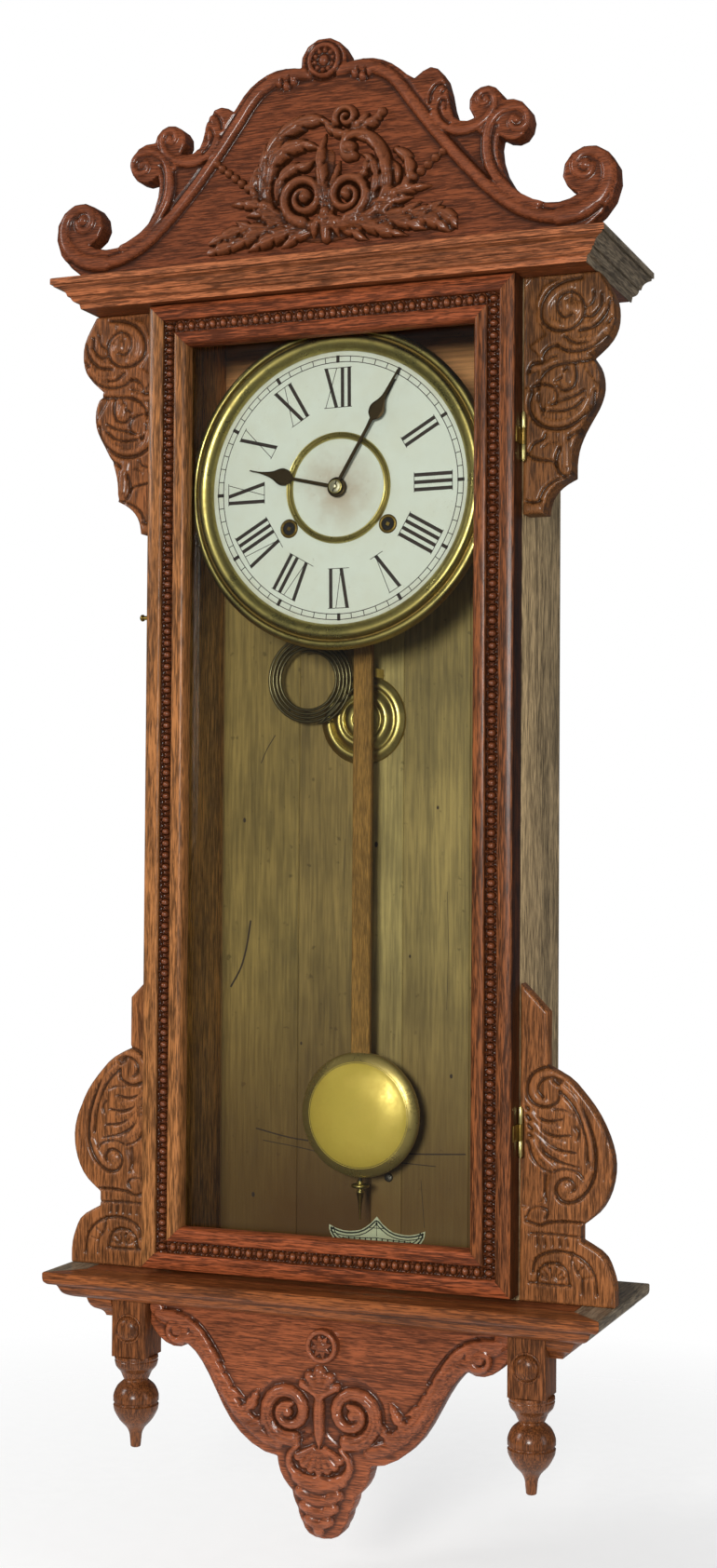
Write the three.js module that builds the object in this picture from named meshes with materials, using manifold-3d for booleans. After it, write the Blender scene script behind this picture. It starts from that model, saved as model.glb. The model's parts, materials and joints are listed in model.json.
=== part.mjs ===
// A pendulum wall clock in carved oak with an eight-inch dial, built as its separate pieces.
//
// Units are millimetres. The clock is laid out in its case's own frame: x runs to the right from
// the case's centre line, y runs back from the plane of the case's front edges, and z runs up from
// the dial's centre. The last group moves all of it, so that the origin of the finished clock is
// the centre of the hanger's hole, at the plane of the wall.

import * as THREE from "three";
import { mergeVertices } from "three/addons/utils/BufferGeometryUtils.js";
import Module from "manifold-3d";

const wasm = await Module();
wasm.setup();

// ---------------------------------------------------------------- driving dimensions

const GAP = 0.3; // between pieces that touch

const CASE_HALF = 145; // half the width over the side panels
const WALL = 97; // y of the wall
const CASE_TOP = 142;
const CASE_FLOOR = -586.2;
const SIDE_THICKNESS = 16;
const BACK_FRONT = 84.7; // y of the backboard's front face
const BACK_REAR = 95.2;
const BACK_HALF = 136.2;

const DOOR_FRONT = -19.9;
const DOOR_BACK = -1.2;
const DOOR_TOP = 141.4;
const DOOR_BOTTOM = -582;
const DOOR_RAIL = 31.5; // width of the door's stiles and rails
const GLASS_REBATE = 5.3;
const GLASS_FRONT = -7.2;
const GLASS_THICKNESS = 3;

const CORNICE_HALF = 216.5;
const CORNICE_FRONT = -44.6;
const CORNICE_TOP = 163.4;
const CORNICE_BOTTOM = CASE_TOP + GAP;
const CORNICE_TRIM = 18.2; // depth of the cornice's mitred moulding

const SHELF_HALF = 215.2;
const SHELF_FRONT = -43.2;
const SHELF_TOP = CASE_FLOOR - GAP;
const SHELF_TRIM = 24.2;
const SHELF_BOTTOM = -607.8;
const UNDER_TOP = SHELF_BOTTOM - GAP; // top of what is glued under the shelf

const PEDIMENT_FRONT = -28;
const PEDIMENT_THICKNESS = 17;
const PEDIMENT_FOOT = CORNICE_TOP + GAP;
const ORNAMENT_THICKNESS = 7;
const UPPER_BRACKET_THICKNESS = 18;
const LOWER_BRACKET_THICKNESS = 12;
const BRACKET_ROOT = CASE_HALF + GAP;
const APRON_FRONT = -11;
const APRON_THICKNESS = 16;

const DROP_X = 155.8;
const DROP_Y = -3.3;
const BLOCK_WIDTH = 28;
const BLOCK_FOOT = -650.5;

const DIAL_FACE = 7; // y of the white face
const DIAL_RADIUS = 104;
const TRACK_RADIUS = 101.6;
const CENTRE_RING = 41.6;
const WINDING_X = 39.5;
const WINDING_Z = -28.7;
const HOUR_ANGLE = 282.9; // degrees clockwise from twelve
const MINUTE_ANGLE = 30.4;

const FRONT_PLATE = 16;
const BACK_PLATE = 46;
const PLATE_THICKNESS = 2;
const PLATE_HALF = 64;
const PLATE_FOOT = -58;
const PLATE_TOP = 94;
const PILLAR_X = 58;

const PENDULUM_Y = 60.5;
const SUSPENSION_Z = 86; // the pendulum and the verge swing about this height
const BOB_Z = -469.5;
const BOB_RADIUS = 47.5;
const BOB_THICKNESS = 24;
const STICK_WIDTH = 15;
const STICK_THICKNESS = 5;
const STICK_FOOT = -516;
const NUT_Z = -519.5;

const GONG_X = -8.8;
const GONG_Z = -168;
const COIL_X = -50;
const COIL_Z = -137;
const COIL_Y = 72;

const HINGE_X = 147; // the door's hinge line
const HINGE_Y = -5;
const HINGE_HEIGHTS = { upper: 27, lower: -467 };
const HINGE_LENGTH = 34;
const LATCH_Z = -94;

const HANGER_Z = 176; // height of the hanger's hole

// ---------------------------------------------------------------- solids and shapes

function solidOf(geometry) {
  const bare = geometry.clone();
  bare.deleteAttribute("normal");
  bare.deleteAttribute("uv");
  const merged = mergeVertices(bare, 1e-4);
  return new wasm.Manifold(
    new wasm.Mesh({
      numProp: 3,
      vertProperties: merged.attributes.position.array,
      triVerts: new Uint32Array(merged.index.array),
    }),
  );
}

function geometryOf(solid) {
  const made = solid.getMesh();
  return new THREE.BufferGeometry()
    .setAttribute("position", new THREE.BufferAttribute(made.vertProperties, 3))
    .setIndex(new THREE.BufferAttribute(made.triVerts, 1));
}

function joined(...pieces) {
  return geometryOf(pieces.map(solidOf).reduce((sum, next) => sum.add(next)));
}

function cut(piece, ...tools) {
  return geometryOf(tools.map(solidOf).reduce((left, tool) => left.subtract(tool), solidOf(piece)));
}

function common(first, second) {
  return geometryOf(solidOf(first).intersect(solidOf(second)));
}

// A box between two corners.
function board(x0, x1, y0, y1, z0, z1) {
  const box = new THREE.BoxGeometry(x1 - x0, y1 - y0, z1 - z0);
  return box.translate((x0 + x1) / 2, (y0 + y1) / 2, (z0 + z1) / 2);
}

// A board sawn to an outline drawn in x and z, from its front face back to its rear face.
function sawn(shape, front, rear, curveSegments = 3) {
  const settings = { depth: rear - front, bevelEnabled: false, curveSegments };
  return new THREE.ExtrudeGeometry(shape, settings).rotateX(Math.PI / 2).translate(0, rear, 0);
}

// A piece turned about an upright axis; its profile holds [radius, height] pairs.
function turned(profile, segments = 24) {
  const points = profile.map(([radius, height]) => new THREE.Vector2(radius, height));
  return new THREE.LatheGeometry(points, segments).rotateX(Math.PI / 2);
}

// A piece turned about a front-to-back axis; its profile holds [radius, distance forward] pairs.
function turnedForward(profile, segments = 24) {
  const points = profile.map(([radius, forward]) => new THREE.Vector2(radius, forward));
  return new THREE.LatheGeometry(points, segments).rotateX(Math.PI);
}

// A round rod along y.
function rod(x, z, radius, y0, y1, segments = 12) {
  return new THREE.CylinderGeometry(radius, radius, y1 - y0, segments).translate(x, (y0 + y1) / 2, z);
}

// A round rod along z.
function post(x, y, radius, z0, z1, segments = 12) {
  const bar = new THREE.CylinderGeometry(radius, radius, z1 - z0, segments).rotateX(Math.PI / 2);
  return bar.translate(x, y, (z0 + z1) / 2);
}

// A closed outline from runs of points: each run is one smooth curve, and runs meet at corners.
function outline(...runs) {
  const shape = new THREE.Shape();
  shape.moveTo(...runs[0][0]);
  for (const run of runs) {
    const points = run.map(([x, z]) => new THREE.Vector2(x, z));
    if (points.length === 2) {
      shape.lineTo(points[1].x, points[1].y);
    } else {
      shape.splineThru(points.slice(1));
    }
  }
  return shape;
}

function polygon(points) {
  return new THREE.Shape(points.map(([x, z]) => new THREE.Vector2(x, z)));
}

function mirrored(run) {
  return run.map(([x, z]) => [-x, z]);
}

// A straight piece with a constant section. The section's points are [a, b], and place(a, b, t)
// gives the corner of the piece for each of them, at its start (t = 0) and at its end (t = 1).
function lengthOf(section, place) {
  const settings = { depth: 1, bevelEnabled: false, curveSegments: 4 };
  const geometry = new THREE.ExtrudeGeometry(section, settings);
  const position = geometry.attributes.position;
  for (let i = 0; i < position.count; i += 1) {
    position.setXYZ(i, ...place(position.getX(i), position.getY(i), position.getZ(i)));
  }
  geometry.computeVertexNormals();
  return geometry;
}

const mix = (from, to, t) => from + (to - from) * t;

// ---------------------------------------------------------------- materials and the scene graph

const timber = (color, roughness = 0.45) => ({ color, roughness, metalness: 0 });
const FINISH = {
  oak: timber(0x6e3a22),
  paleOak: timber(0x80532d),
  carving: timber(0x6a381f, 0.4),
  back: timber(0x6b5836, 0.6),
  brass: { color: 0xa8903f, roughness: 0.3, metalness: 1 },
  steel: { color: 0x6c6a66, roughness: 0.35, metalness: 1 },
  blued: { color: 0x1c1a18, roughness: 0.4, metalness: 0.8 },
  enamel: timber(0xdcdcd0, 0.5),
  paper: timber(0xcfd0b4, 0.8),
  glass: timber(0xdfe8e6, 0.05),
};

const clock = new THREE.Group();

function add(name, geometry, finish) {
  const mesh = new THREE.Mesh(geometry, new THREE.MeshStandardMaterial(finish));
  mesh.name = name;
  clock.add(mesh);
}

// Adds a left and a right copy of a piece that is drawn on the right.
function addPair(name, rightGeometry, finish) {
  add(name + "_right", rightGeometry, finish);
  const left = rightGeometry.clone().scale(-1, 1, 1);
  add(name + "_left", turnedRound(left), finish);
}

// Mirroring turns every face inside out, so this swaps two corners of each of them.
function turnedRound(geometry) {
  const flat = geometry.index ? geometry.toNonIndexed() : geometry;
  const position = flat.attributes.position;
  for (let i = 0; i < position.count; i += 3) {
    const second = [position.getX(i + 1), position.getY(i + 1), position.getZ(i + 1)];
    position.setXYZ(i + 1, position.getX(i + 2), position.getY(i + 2), position.getZ(i + 2));
    position.setXYZ(i + 2, ...second);
  }
  flat.computeVertexNormals();
  return flat;
}

// ---------------------------------------------------------------- case

// A side panel with a rebate along its rear inner edge for the backboard.
function sidePanel() {
  const inner = CASE_HALF - SIDE_THICKNESS;
  const rebate = BACK_HALF + GAP;
  const section = polygon([
    [inner, 0],
    [CASE_HALF, 0],
    [CASE_HALF, WALL],
    [rebate, WALL],
    [rebate, BACK_FRONT],
    [inner, BACK_FRONT],
  ]);
  return lengthOf(section, (x, y, t) => [x, y, mix(CASE_FLOOR, CASE_TOP, t)]);
}

addPair("side", sidePanel(), FINISH.oak);
add(
  "backboard",
  board(-BACK_HALF, BACK_HALF, BACK_FRONT + GAP, BACK_REAR, CASE_FLOOR, CASE_TOP),
  FINISH.back,
);

// A front moulding and two side returns, mitred at the front corners. The section's points are
// [distance in from the outer face, height].
function mitredTrim(name, section, half, front) {
  const across = lengthOf(section, (d, z, t) => {
    const reach = half - d - GAP;
    return [mix(-reach, reach, t), front + d, z];
  });
  const alongRight = lengthOf(section, (d, z, t) => [half - d, mix(front + d + GAP, WALL, t), z]);
  add(name + "_front", across, FINISH.oak);
  addPair(name, alongRight, FINISH.paleOak);
}

// Cornice section: a fillet over an ogee and a small lower fillet.
function corniceSection() {
  const section = new THREE.Shape();
  section.moveTo(CORNICE_TRIM, CORNICE_TOP);
  section.lineTo(0, CORNICE_TOP);
  section.lineTo(0, 158.6);
  section.lineTo(2.4, 157.8);
  section.quadraticCurveTo(8.4, 156.6, 10.2, 151.6);
  section.quadraticCurveTo(11.6, 147.2, 16.6, 146);
  section.lineTo(17.4, CORNICE_BOTTOM);
  section.lineTo(CORNICE_TRIM, CORNICE_BOTTOM);
  section.closePath();
  return section;
}

function cornice() {
  const inset = CORNICE_TRIM + GAP;
  const half = CORNICE_HALF - inset;
  add(
    "cornice_board",
    board(-half, half, CORNICE_FRONT + inset, BACK_REAR, CORNICE_BOTTOM, CORNICE_TOP),
    FINISH.oak,
  );
  mitredTrim("cornice", corniceSection(), CORNICE_HALF, CORNICE_FRONT);
}
cornice();

// Shelf section: a fillet, a step and a long cove under it.
function shelfSection() {
  const section = new THREE.Shape();
  section.moveTo(SHELF_TRIM, SHELF_TOP);
  section.lineTo(0, SHELF_TOP);
  section.lineTo(0, -591.4);
  section.quadraticCurveTo(1.2, -595.4, 7.6, -596.6);
  section.lineTo(8.6, -597.8);
  section.quadraticCurveTo(11.6, -605.6, SHELF_TRIM, SHELF_BOTTOM);
  section.closePath();
  return section;
}

// The ogee strip under each end of the shelf, mitred round its front corner.
function underMoulding() {
  const inner = DROP_X + BLOCK_WIDTH / 2 + GAP;
  const depth = SHELF_HALF - inner;
  const section = new THREE.Shape();
  section.moveTo(depth, UNDER_TOP);
  section.lineTo(SHELF_TRIM + GAP, UNDER_TOP);
  section.quadraticCurveTo(26, -615.5, 30.6, -617);
  section.quadraticCurveTo(34.6, -618.4, 35.6, -622.6);
  section.lineTo(depth, -622.6);
  section.closePath();
  const right = lengthOf(section, (d, z, t) => [SHELF_HALF - d, mix(SHELF_FRONT, WALL, t), z]);
  const front = lengthOf(section, (d, z, t) => [mix(inner, SHELF_HALF, t), SHELF_FRONT + d, z]);
  const behind = SHELF_FRONT + depth;
  const rear = board(inner, SHELF_HALF, behind - 0.01, WALL, -622.6, UNDER_TOP);
  return common(right, joined(front, rear));
}

function shelf() {
  const inset = SHELF_TRIM + GAP;
  const half = SHELF_HALF - inset;
  const floor = SHELF_BOTTOM;
  add("shelf_board", board(-half, half, SHELF_FRONT + inset, WALL, floor, SHELF_TOP), FINISH.oak);
  mitredTrim("shelf", shelfSection(), SHELF_HALF, SHELF_FRONT);
  addPair("under_moulding", underMoulding(), FINISH.oak);
}
shelf();

// ---------------------------------------------------------------- carved boards

// One side of the pediment, drawn on the right, from its foot up to the top lobe. The left fin is
// cut lower than the right one, as a hand-sawn pediment is.
function pedimentSide(finTip, notch) {
  const finPoint = (x, share) => [x, mix(257.5, finTip, share)];
  return {
    endVolute: [
      [192, PEDIMENT_FOOT], [202, 169.5], [211, 177], [218.6, 188], [221.2, 201], [218.6, 212.6],
      [210.6, 220.8], [200.4, 223.8], [190.6, 221.2], [183.8, 214.4], [181.4, 205], [184.4, 197],
      [192.4, 190.6],
    ],
    hollow: [
      [192.4, 190.6], [186, 187.6], [177, 186.2], [166.6, 187.4], [156.6, 191.4], [147, 198.4],
      [139.6, 208.4], [135.2, 220], [133.6, 230.4], [134.8, 238],
    ],
    lowerScroll: [
      [134.8, 238], [141, 234.6], [148, 234], [154.2, 237.4], [157.4, 244.4], [157.2, 252.2],
      [153, 259.2], [146.2, 262.8], [137.5, 263.4],
    ],
    upperScroll: [
      [137.5, 263.4], [135.4, 269.2], [130.6, 273.6], [124.4, 275], [117.6, 273], [113.2, 268],
      [112, 261], [116, 252.8],
    ],
    fin: [
      [116, 252.8], [110, 251.3], [104, 252.8], finPoint(99.6, 0), finPoint(97, 0.32),
      finPoint(94.4, 0.66), finPoint(90.2, 0.9), finPoint(84, 1), finPoint(77.6, 0.95), notch,
    ],
    shoulder: [
      notch, [63.6, 291.4], [57.4, 297], [50, 301.8], [42, 305], [33, 306.6], [24, 306],
      [18.2, 304.8],
    ],
  };
}

function pedimentBoard() {
  const left = pedimentSide(284, [72.4, 279.4]);
  const right = pedimentSide(293.6, [70.4, 287]);
  const order = ["endVolute", "hollow", "lowerScroll", "upperScroll", "fin", "shoulder"];
  const lobe = [[-18.2, 304.8], [-17, 314.4], [-10.6, 322.4], [0, 325.6], [10.6, 322.4]];
  lobe.push([17, 314.4], [18.2, 304.8]);
  const leftRuns = order.map((name) => mirrored(left[name]));
  const rightRuns = order.map((name) => [...right[name]].reverse()).reverse();
  const shape = outline(...leftRuns, lobe, ...rightRuns);
  return sawn(shape, PEDIMENT_FRONT, PEDIMENT_FRONT + PEDIMENT_THICKNESS, 1);
}
add("pediment", pedimentBoard(), FINISH.oak);

// The applied leaf scroll on the pediment: a crest that leans to the left over two volutes, with
// leaves and a string of beads running out on each side.
function ornament() {
  const shape = outline(
    [[-5, 173], [-20, 176], [-33, 173.6], [-44, 177], [-58, 174.6], [-70, 181], [-92, 173.4]],
    [[-92, 173.4], [-84, 189], [-66, 192], [-52, 199], [-70, 208]],
    [[-70, 208], [-56, 210], [-84, 240]],
    [[-84, 240], [-60, 226], [-50, 216], [-54, 232], [-44, 234], [-36, 252], [-22, 264], [0, 267]],
    [[0, 267], [10, 274], [24, 272], [34, 262], [46, 270]],
    [[46, 270], [47, 258], [36, 256], [46, 246], [52, 230], [60, 234], [68, 222]],
    [[68, 222], [88, 236], [78, 214], [66, 208], [82, 204]],
    [[82, 204], [66, 196], [72, 188], [90, 190], [104, 173.4]],
    [[104, 173.4], [84, 178], [64, 175.6], [50, 178], [34, 174.4], [18, 180], [5, 173]],
    [[5, 173], [-5, 173]],
  );
  return sawn(shape, PEDIMENT_FRONT - GAP - ORNAMENT_THICKNESS, PEDIMENT_FRONT - GAP, 1);
}
add("pediment_ornament", ornament(), FINISH.carving);

// The upper bracket: two lobes, then a taper to a small stepped foot.
function upperBracket() {
  const shape = outline(
    [[BRACKET_ROOT, CASE_TOP], [BRACKET_ROOT, -28]],
    [[BRACKET_ROOT, -28], [160.6, -28]],
    [[160.6, -28], [162, -19.6], [165.6, -12.6], [172, -6.6], [180.8, -2]],
    [
      [180.8, -2], [180.9, 9], [182.6, 19.4], [186.6, 29.4], [192, 39], [197.4, 48.2],
      [200.8, 58], [201, 67], [198.8, 75.6], [193.8, 83.5],
    ],
    [[193.8, 83.5], [205, 93.4], [210.6, 103], [212, 114], [209.8, 125.4], [200.6, CASE_TOP]],
    [[200.6, CASE_TOP], [BRACKET_ROOT, CASE_TOP]],
  );
  return sawn(shape, 0, UPPER_BRACKET_THICKNESS, 2);
}
addPair("upper_bracket", upperBracket(), FINISH.paleOak);

// The lower bracket: a plain strip with a sloping top, a long lobe, and a quarter round on the shelf.
function lowerBracket() {
  const shape = outline(
    [[BRACKET_ROOT, CASE_FLOOR], [214.4, CASE_FLOOR]],
    [[214.4, CASE_FLOOR], [214.2, -573], [211.2, -561.4], [205.2, -550.4], [190, -541.6]],
    [[190, -541.6], [190, -531]],
    [
      [190, -531], [202, -521], [209, -509.4], [212.6, -495.4], [212.4, -482], [208, -467],
      [200.2, -451.8], [190.4, -439.2], [180.2, -428.8], [165, -420.6],
    ],
    [[165, -420.6], [165, -382]],
    [[165, -382], [BRACKET_ROOT, -362]],
    [[BRACKET_ROOT, -362], [BRACKET_ROOT, CASE_FLOOR]],
  );
  return sawn(shape, 0, LOWER_BRACKET_THICKNESS, 2);
}
addPair("lower_bracket", lowerBracket(), FINISH.paleOak);

// The apron under the shelf: end lobes, long S curves, and a tiered pendant.
function apron() {
  const end = DROP_X - BLOCK_WIDTH / 2 - GAP;
  const half = [
    [[end, -625], [137.6, -631], [132, -636], [125, -639.8], [117, -640.6], [110.4, -638]],
    [
      [110.4, -638], [103.6, -643.4], [97, -652], [91, -662], [84.4, -674.4], [77.4, -686.4],
      [69.4, -696.2], [59.6, -704.4], [48.2, -710.4], [37, -712.6],
    ],
    [[37, -712.6], [35.8, -719.4], [33.4, -726], [29, -732], [24.6, -736.4]],
    [[24.6, -736.4], [23.4, -742.2], [20, -748.4]],
    [[20, -748.4], [19, -753.6], [16, -758.8]],
    [[16, -758.8], [13.8, -763.6], [8.4, -767.4], [0, -768.6]],
  ];
  const leftHalf = [...half].reverse().map((run) => mirrored([...run].reverse()));
  const shape = outline(
    [[-end, UNDER_TOP], [end, UNDER_TOP]],
    [[end, UNDER_TOP], [end, -625]],
    ...half,
    ...leftHalf,
    [[-end, -625], [-end, UNDER_TOP]],
  );
  return sawn(shape, APRON_FRONT, APRON_FRONT + APRON_THICKNESS, 1);
}
add("apron", apron(), FINISH.oak);

function rosette() {
  const profile = [[0, 0], [12.2, 0], [12.4, 2.2], [10.6, 4], [9, 2.8], [7.4, 4.4], [0, 5.2]];
  return turnedForward(profile).translate(0, APRON_FRONT - GAP, -628.5);
}
add("apron_rosette", rosette(), FINISH.carving);

// ---------------------------------------------------------------- drops under the shelf

// A square block with a turned button on its front face.
function dropBlock() {
  const half = BLOCK_WIDTH / 2;
  const front = DROP_Y - half;
  const block = board(DROP_X - half, DROP_X + half, front, DROP_Y + half, BLOCK_FOOT, UNDER_TOP);
  const profile = [[0, -1], [10.4, -1], [10.4, 1.6], [8.6, 3.2], [5, 4.4], [0, 4.8]];
  return joined(block, turnedForward(profile, 20).translate(DROP_X, front, -629));
}
addPair("drop_block", dropBlock(), FINISH.paleOak);

// The turned drop: a cup, a neck, a grooved ball and a tapered tip.
function dropFinial() {
  const profile = [
    [0, -720], [3.8, -720], [4.8, -709], [7.4, -704.6], [12.4, -699], [16.6, -692],
    [17.2, -687.6], [16, -686.6], [17.2, -685.6], [16.8, -680], [14, -674], [9.4, -669],
    [10.6, -663.4], [15.4, -658.6], [16.2, -650.8], [0, -650.8],
  ];
  return turned(profile, 16).translate(DROP_X, DROP_Y, 0);
}
addPair("drop_finial", dropFinial(), FINISH.oak);

// ---------------------------------------------------------------- hanger

function hanger() {
  const shape = outline(
    [[-20, 92], [20, 92]],
    [[20, 92], [20, 150]],
    [[20, 150], [13, 160], [12.4, 176], [8.6, 185], [0, 188.6]],
    [[0, 188.6], [-8.6, 185], [-12.4, 176], [-13, 160], [-20, 150]],
    [[-20, 150], [-20, 92]],
  );
  const hole = new THREE.Path();
  hole.absarc(0, HANGER_Z, 4.5, 0, 2 * Math.PI, true);
  shape.holes.push(hole);
  return sawn(shape, BACK_REAR + GAP, WALL, 6);
}
add("hanger_plate", hanger(), FINISH.steel);

// ---------------------------------------------------------------- door

// Section of the door's frame, [distance in from the outer edge, y]: an outer flat, a sunk channel
// for the pressed beads, an inner flat, and the rebate for the glass at the back.
function doorSection() {
  const inner = DOOR_RAIL - GLASS_REBATE;
  return polygon([
    [0, DOOR_BACK], [0, DOOR_FRONT + 1.4], [1.4, DOOR_FRONT], [11.2, DOOR_FRONT],
    [11.8, DOOR_FRONT + 4.4], [15, DOOR_FRONT + 2], [18.6, DOOR_FRONT + 2],
    [21.2, DOOR_FRONT + 4.6], [21.8, DOOR_FRONT + 0.4], [28, DOOR_FRONT + 0.4],
    [DOOR_RAIL, DOOR_FRONT + 4], [DOOR_RAIL, GLASS_FRONT - GAP], [inner, GLASS_FRONT - GAP],
    [inner, DOOR_BACK],
  ]);
}

function doorFrame() {
  const half = CASE_HALF;
  const stile = lengthOf(doorSection(), (d, y, t) => [
    half - d,
    y,
    mix(DOOR_TOP - d, DOOR_BOTTOM + d, t),
  ]);
  const top = lengthOf(doorSection(), (d, y, t) => {
    const reach = half - d - GAP;
    return [mix(-reach, reach, t), y, DOOR_TOP - d];
  });
  const bottom = lengthOf(doorSection(), (d, y, t) => {
    const reach = half - d - GAP;
    return [mix(reach, -reach, t), y, DOOR_BOTTOM + d];
  });
  addPair("door_stile", stile, FINISH.paleOak);
  add("door_rail_top", top, FINISH.oak);
  add("door_rail_bottom", bottom, FINISH.oak);
}
doorFrame();

function doorGlass() {
  const inset = DOOR_RAIL - GLASS_REBATE + GAP;
  const half = CASE_HALF - inset;
  const rear = GLASS_FRONT + GLASS_THICKNESS;
  return board(-half, half, GLASS_FRONT, rear, DOOR_BOTTOM + inset, DOOR_TOP - inset);
}
add("door_glass", doorGlass(), { ...FINISH.glass, transparent: true, opacity: 0.35 });

const KNUCKLE_RADIUS = 1.7;
const PIN_RADIUS = 0.9;
const PIN_CLEARANCE = 0.06;

// One knuckle of a hinge, with its bore.
function knuckle(z0, z1, bore) {
  const barrel = post(HINGE_X, HINGE_Y, KNUCKLE_RADIUS, z0, z1, 12);
  return cut(barrel, post(HINGE_X, HINGE_Y, bore, z0 - 1, z1 + 1, 12));
}

// The case's leaf lies on the case's front edge, carries the two outer knuckles and holds the pin.
function caseLeaf(z) {
  const low = z - HINGE_LENGTH / 2;
  const high = z + HINGE_LENGTH / 2;
  const third = HINGE_LENGTH / 3;
  const leaf = board(134, HINGE_X + 0.6, -0.9, -0.15, low, high);
  const pin = post(HINGE_X, HINGE_Y, PIN_RADIUS, low - 1, high + 1, 12);
  const ears = [
    [low, low + third - GAP],
    [high - third + GAP, high],
  ].map(([z0, z1]) => {
    const web = board(HINGE_X - 0.6, HINGE_X + 0.6, HINGE_Y, -0.2, z0, z1);
    return joined(post(HINGE_X, HINGE_Y, KNUCKLE_RADIUS, z0, z1, 12), web);
  });
  return joined(leaf, pin, ...ears);
}

// The door's leaf lies on the door's edge and carries the middle knuckle.
function doorLeaf(z) {
  const third = HINGE_LENGTH / 3;
  const bore = PIN_RADIUS + PIN_CLEARANCE;
  const z0 = z - third / 2;
  const z1 = z + third / 2;
  const leaf = board(CASE_HALF + 0.1, CASE_HALF + 0.9, -17, HINGE_Y - 1.2, z0, z1);
  const lip = board(CASE_HALF + 0.1, HINGE_X - 1.2, HINGE_Y - 1.5, HINGE_Y, z0, z1);
  const drilled = post(HINGE_X, HINGE_Y, bore, z0 - 1, z1 + 1, 12);
  return cut(joined(leaf, lip, knuckle(z0, z1, bore)), drilled);
}

for (const [name, height] of Object.entries(HINGE_HEIGHTS)) {
  add("hinge_" + name + "_case_leaf", caseLeaf(height), FINISH.brass);
  add("hinge_" + name + "_door_leaf", doorLeaf(height), FINISH.brass);
}

const LATCH_PIN_Y = -12;
const LATCH_PIVOT_Y = 14;
const HOOK_RAISED = THREE.MathUtils.degToRad(90); // how far it stands above the pin

// A headed pin in the door's left edge, for the hook to drop over.
function latchPin() {
  const profile = [[0, 0], [1.6, 0], [1.6, 5.4], [2.6, 5.8], [2.6, 7.4], [1.6, 8.2], [0, 8.2]];
  const pin = turned(profile, 12).rotateY(-Math.PI / 2);
  return pin.translate(-CASE_HALF - 0.1, LATCH_PIN_Y, LATCH_Z);
}
add("latch_pin", latchPin(), FINISH.blued);

// The hook pivots on the case's left side and drops over the pin from above. It is drawn over the
// pin and then turned up clear of it.
function latchHook() {
  const outerFace = -CASE_HALF - 2.2;
  const shape = outline(
    [[LATCH_PIVOT_Y + 4, LATCH_Z - 1], [LATCH_PIVOT_Y + 4, LATCH_Z + 5]],
    [[LATCH_PIVOT_Y + 4, LATCH_Z + 5], [LATCH_PIN_Y - 2, LATCH_Z + 5]],
    [[LATCH_PIN_Y - 2, LATCH_Z + 5], [LATCH_PIN_Y - 5.4, LATCH_Z + 2], [LATCH_PIN_Y - 5, LATCH_Z - 4]],
    [[LATCH_PIN_Y - 5, LATCH_Z - 4], [LATCH_PIN_Y - 2.2, LATCH_Z - 4]],
    [[LATCH_PIN_Y - 2.2, LATCH_Z - 4], [LATCH_PIN_Y - 1.9, LATCH_Z + 1], [LATCH_PIN_Y + 2.4, LATCH_Z + 2]],
    [[LATCH_PIN_Y + 2.4, LATCH_Z + 2], [LATCH_PIVOT_Y - 6, LATCH_Z + 1]],
    [[LATCH_PIVOT_Y - 6, LATCH_Z + 1], [LATCH_PIVOT_Y + 4, LATCH_Z - 1]],
  );
  const blade = lengthOf(shape, (y, z, t) => [outerFace - 1.6 + 1.6 * t, y, z]);
  const pivotZ = LATCH_Z + 2;
  const screw = [[0, -1.9], [1.4, -1.9], [1.4, 1.6], [3.2, 1.7], [2.6, 3], [0, 3.4]];
  const pivot = turned(screw, 12).rotateY(-Math.PI / 2).translate(outerFace, LATCH_PIVOT_Y, pivotZ);
  const raised = joined(blade, pivot).translate(0, -LATCH_PIVOT_Y, -pivotZ).rotateX(-HOOK_RAISED);
  return raised.translate(0, LATCH_PIVOT_Y, pivotZ);
}
add("latch_hook", latchHook(), FINISH.brass);

// ---------------------------------------------------------------- dial and hands

// The white face, with holes for the hands' pipe and for the key, and four feet behind it.
function dialPlate() {
  const shape = new THREE.Shape();
  shape.absarc(0, 0, DIAL_RADIUS, 0, 2 * Math.PI, false);
  const holes = [[0, 0, 5], [-WINDING_X, WINDING_Z, 6.2], [WINDING_X, WINDING_Z, 6.2]];
  for (const [x, z, radius] of holes) {
    const hole = new THREE.Path();
    hole.absarc(x, z, radius, 0, 2 * Math.PI, true);
    shape.holes.push(hole);
  }
  const face = sawn(shape, DIAL_FACE, DIAL_FACE + 1.2, 10);
  const feet = [[-44, 66], [44, 66], [-44, -50], [44, -50]].map(([x, z]) => {
    return rod(x, z, 2.2, DIAL_FACE + 0.6, FRONT_PLATE - GAP, 6);
  });
  return joined(face, ...feet);
}
add("dial", dialPlate(), FINISH.enamel);

// The bezel: a rounded brass ring round the face, a sunk line, and a flat flange outside it.
function bezel() {
  const profile = [
    [TRACK_RADIUS, -6.6], [TRACK_RADIUS, -4.6], [104.4, -1.6], [108.2, 0.4], [111.8, -0.4],
    [113.6, -5.2], [114.4, -5.4], [115.2, -3], [119.4, -4], [119.6, -8.6], [105, -8.6],
    [104.4, -6.6],
  ];
  return turnedForward([...profile, profile[0]].reverse(), 40);
}
add("dial_bezel", bezel(), FINISH.brass);

function centreRing() {
  const profile = [[36.4, -6.7], [38, -4.2], [40, -4.2], [CENTRE_RING, -6.7], [36.4, -6.7]];
  return turnedForward([...profile].reverse(), 32);
}
add("centre_ring", centreRing(), FINISH.brass);

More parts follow.
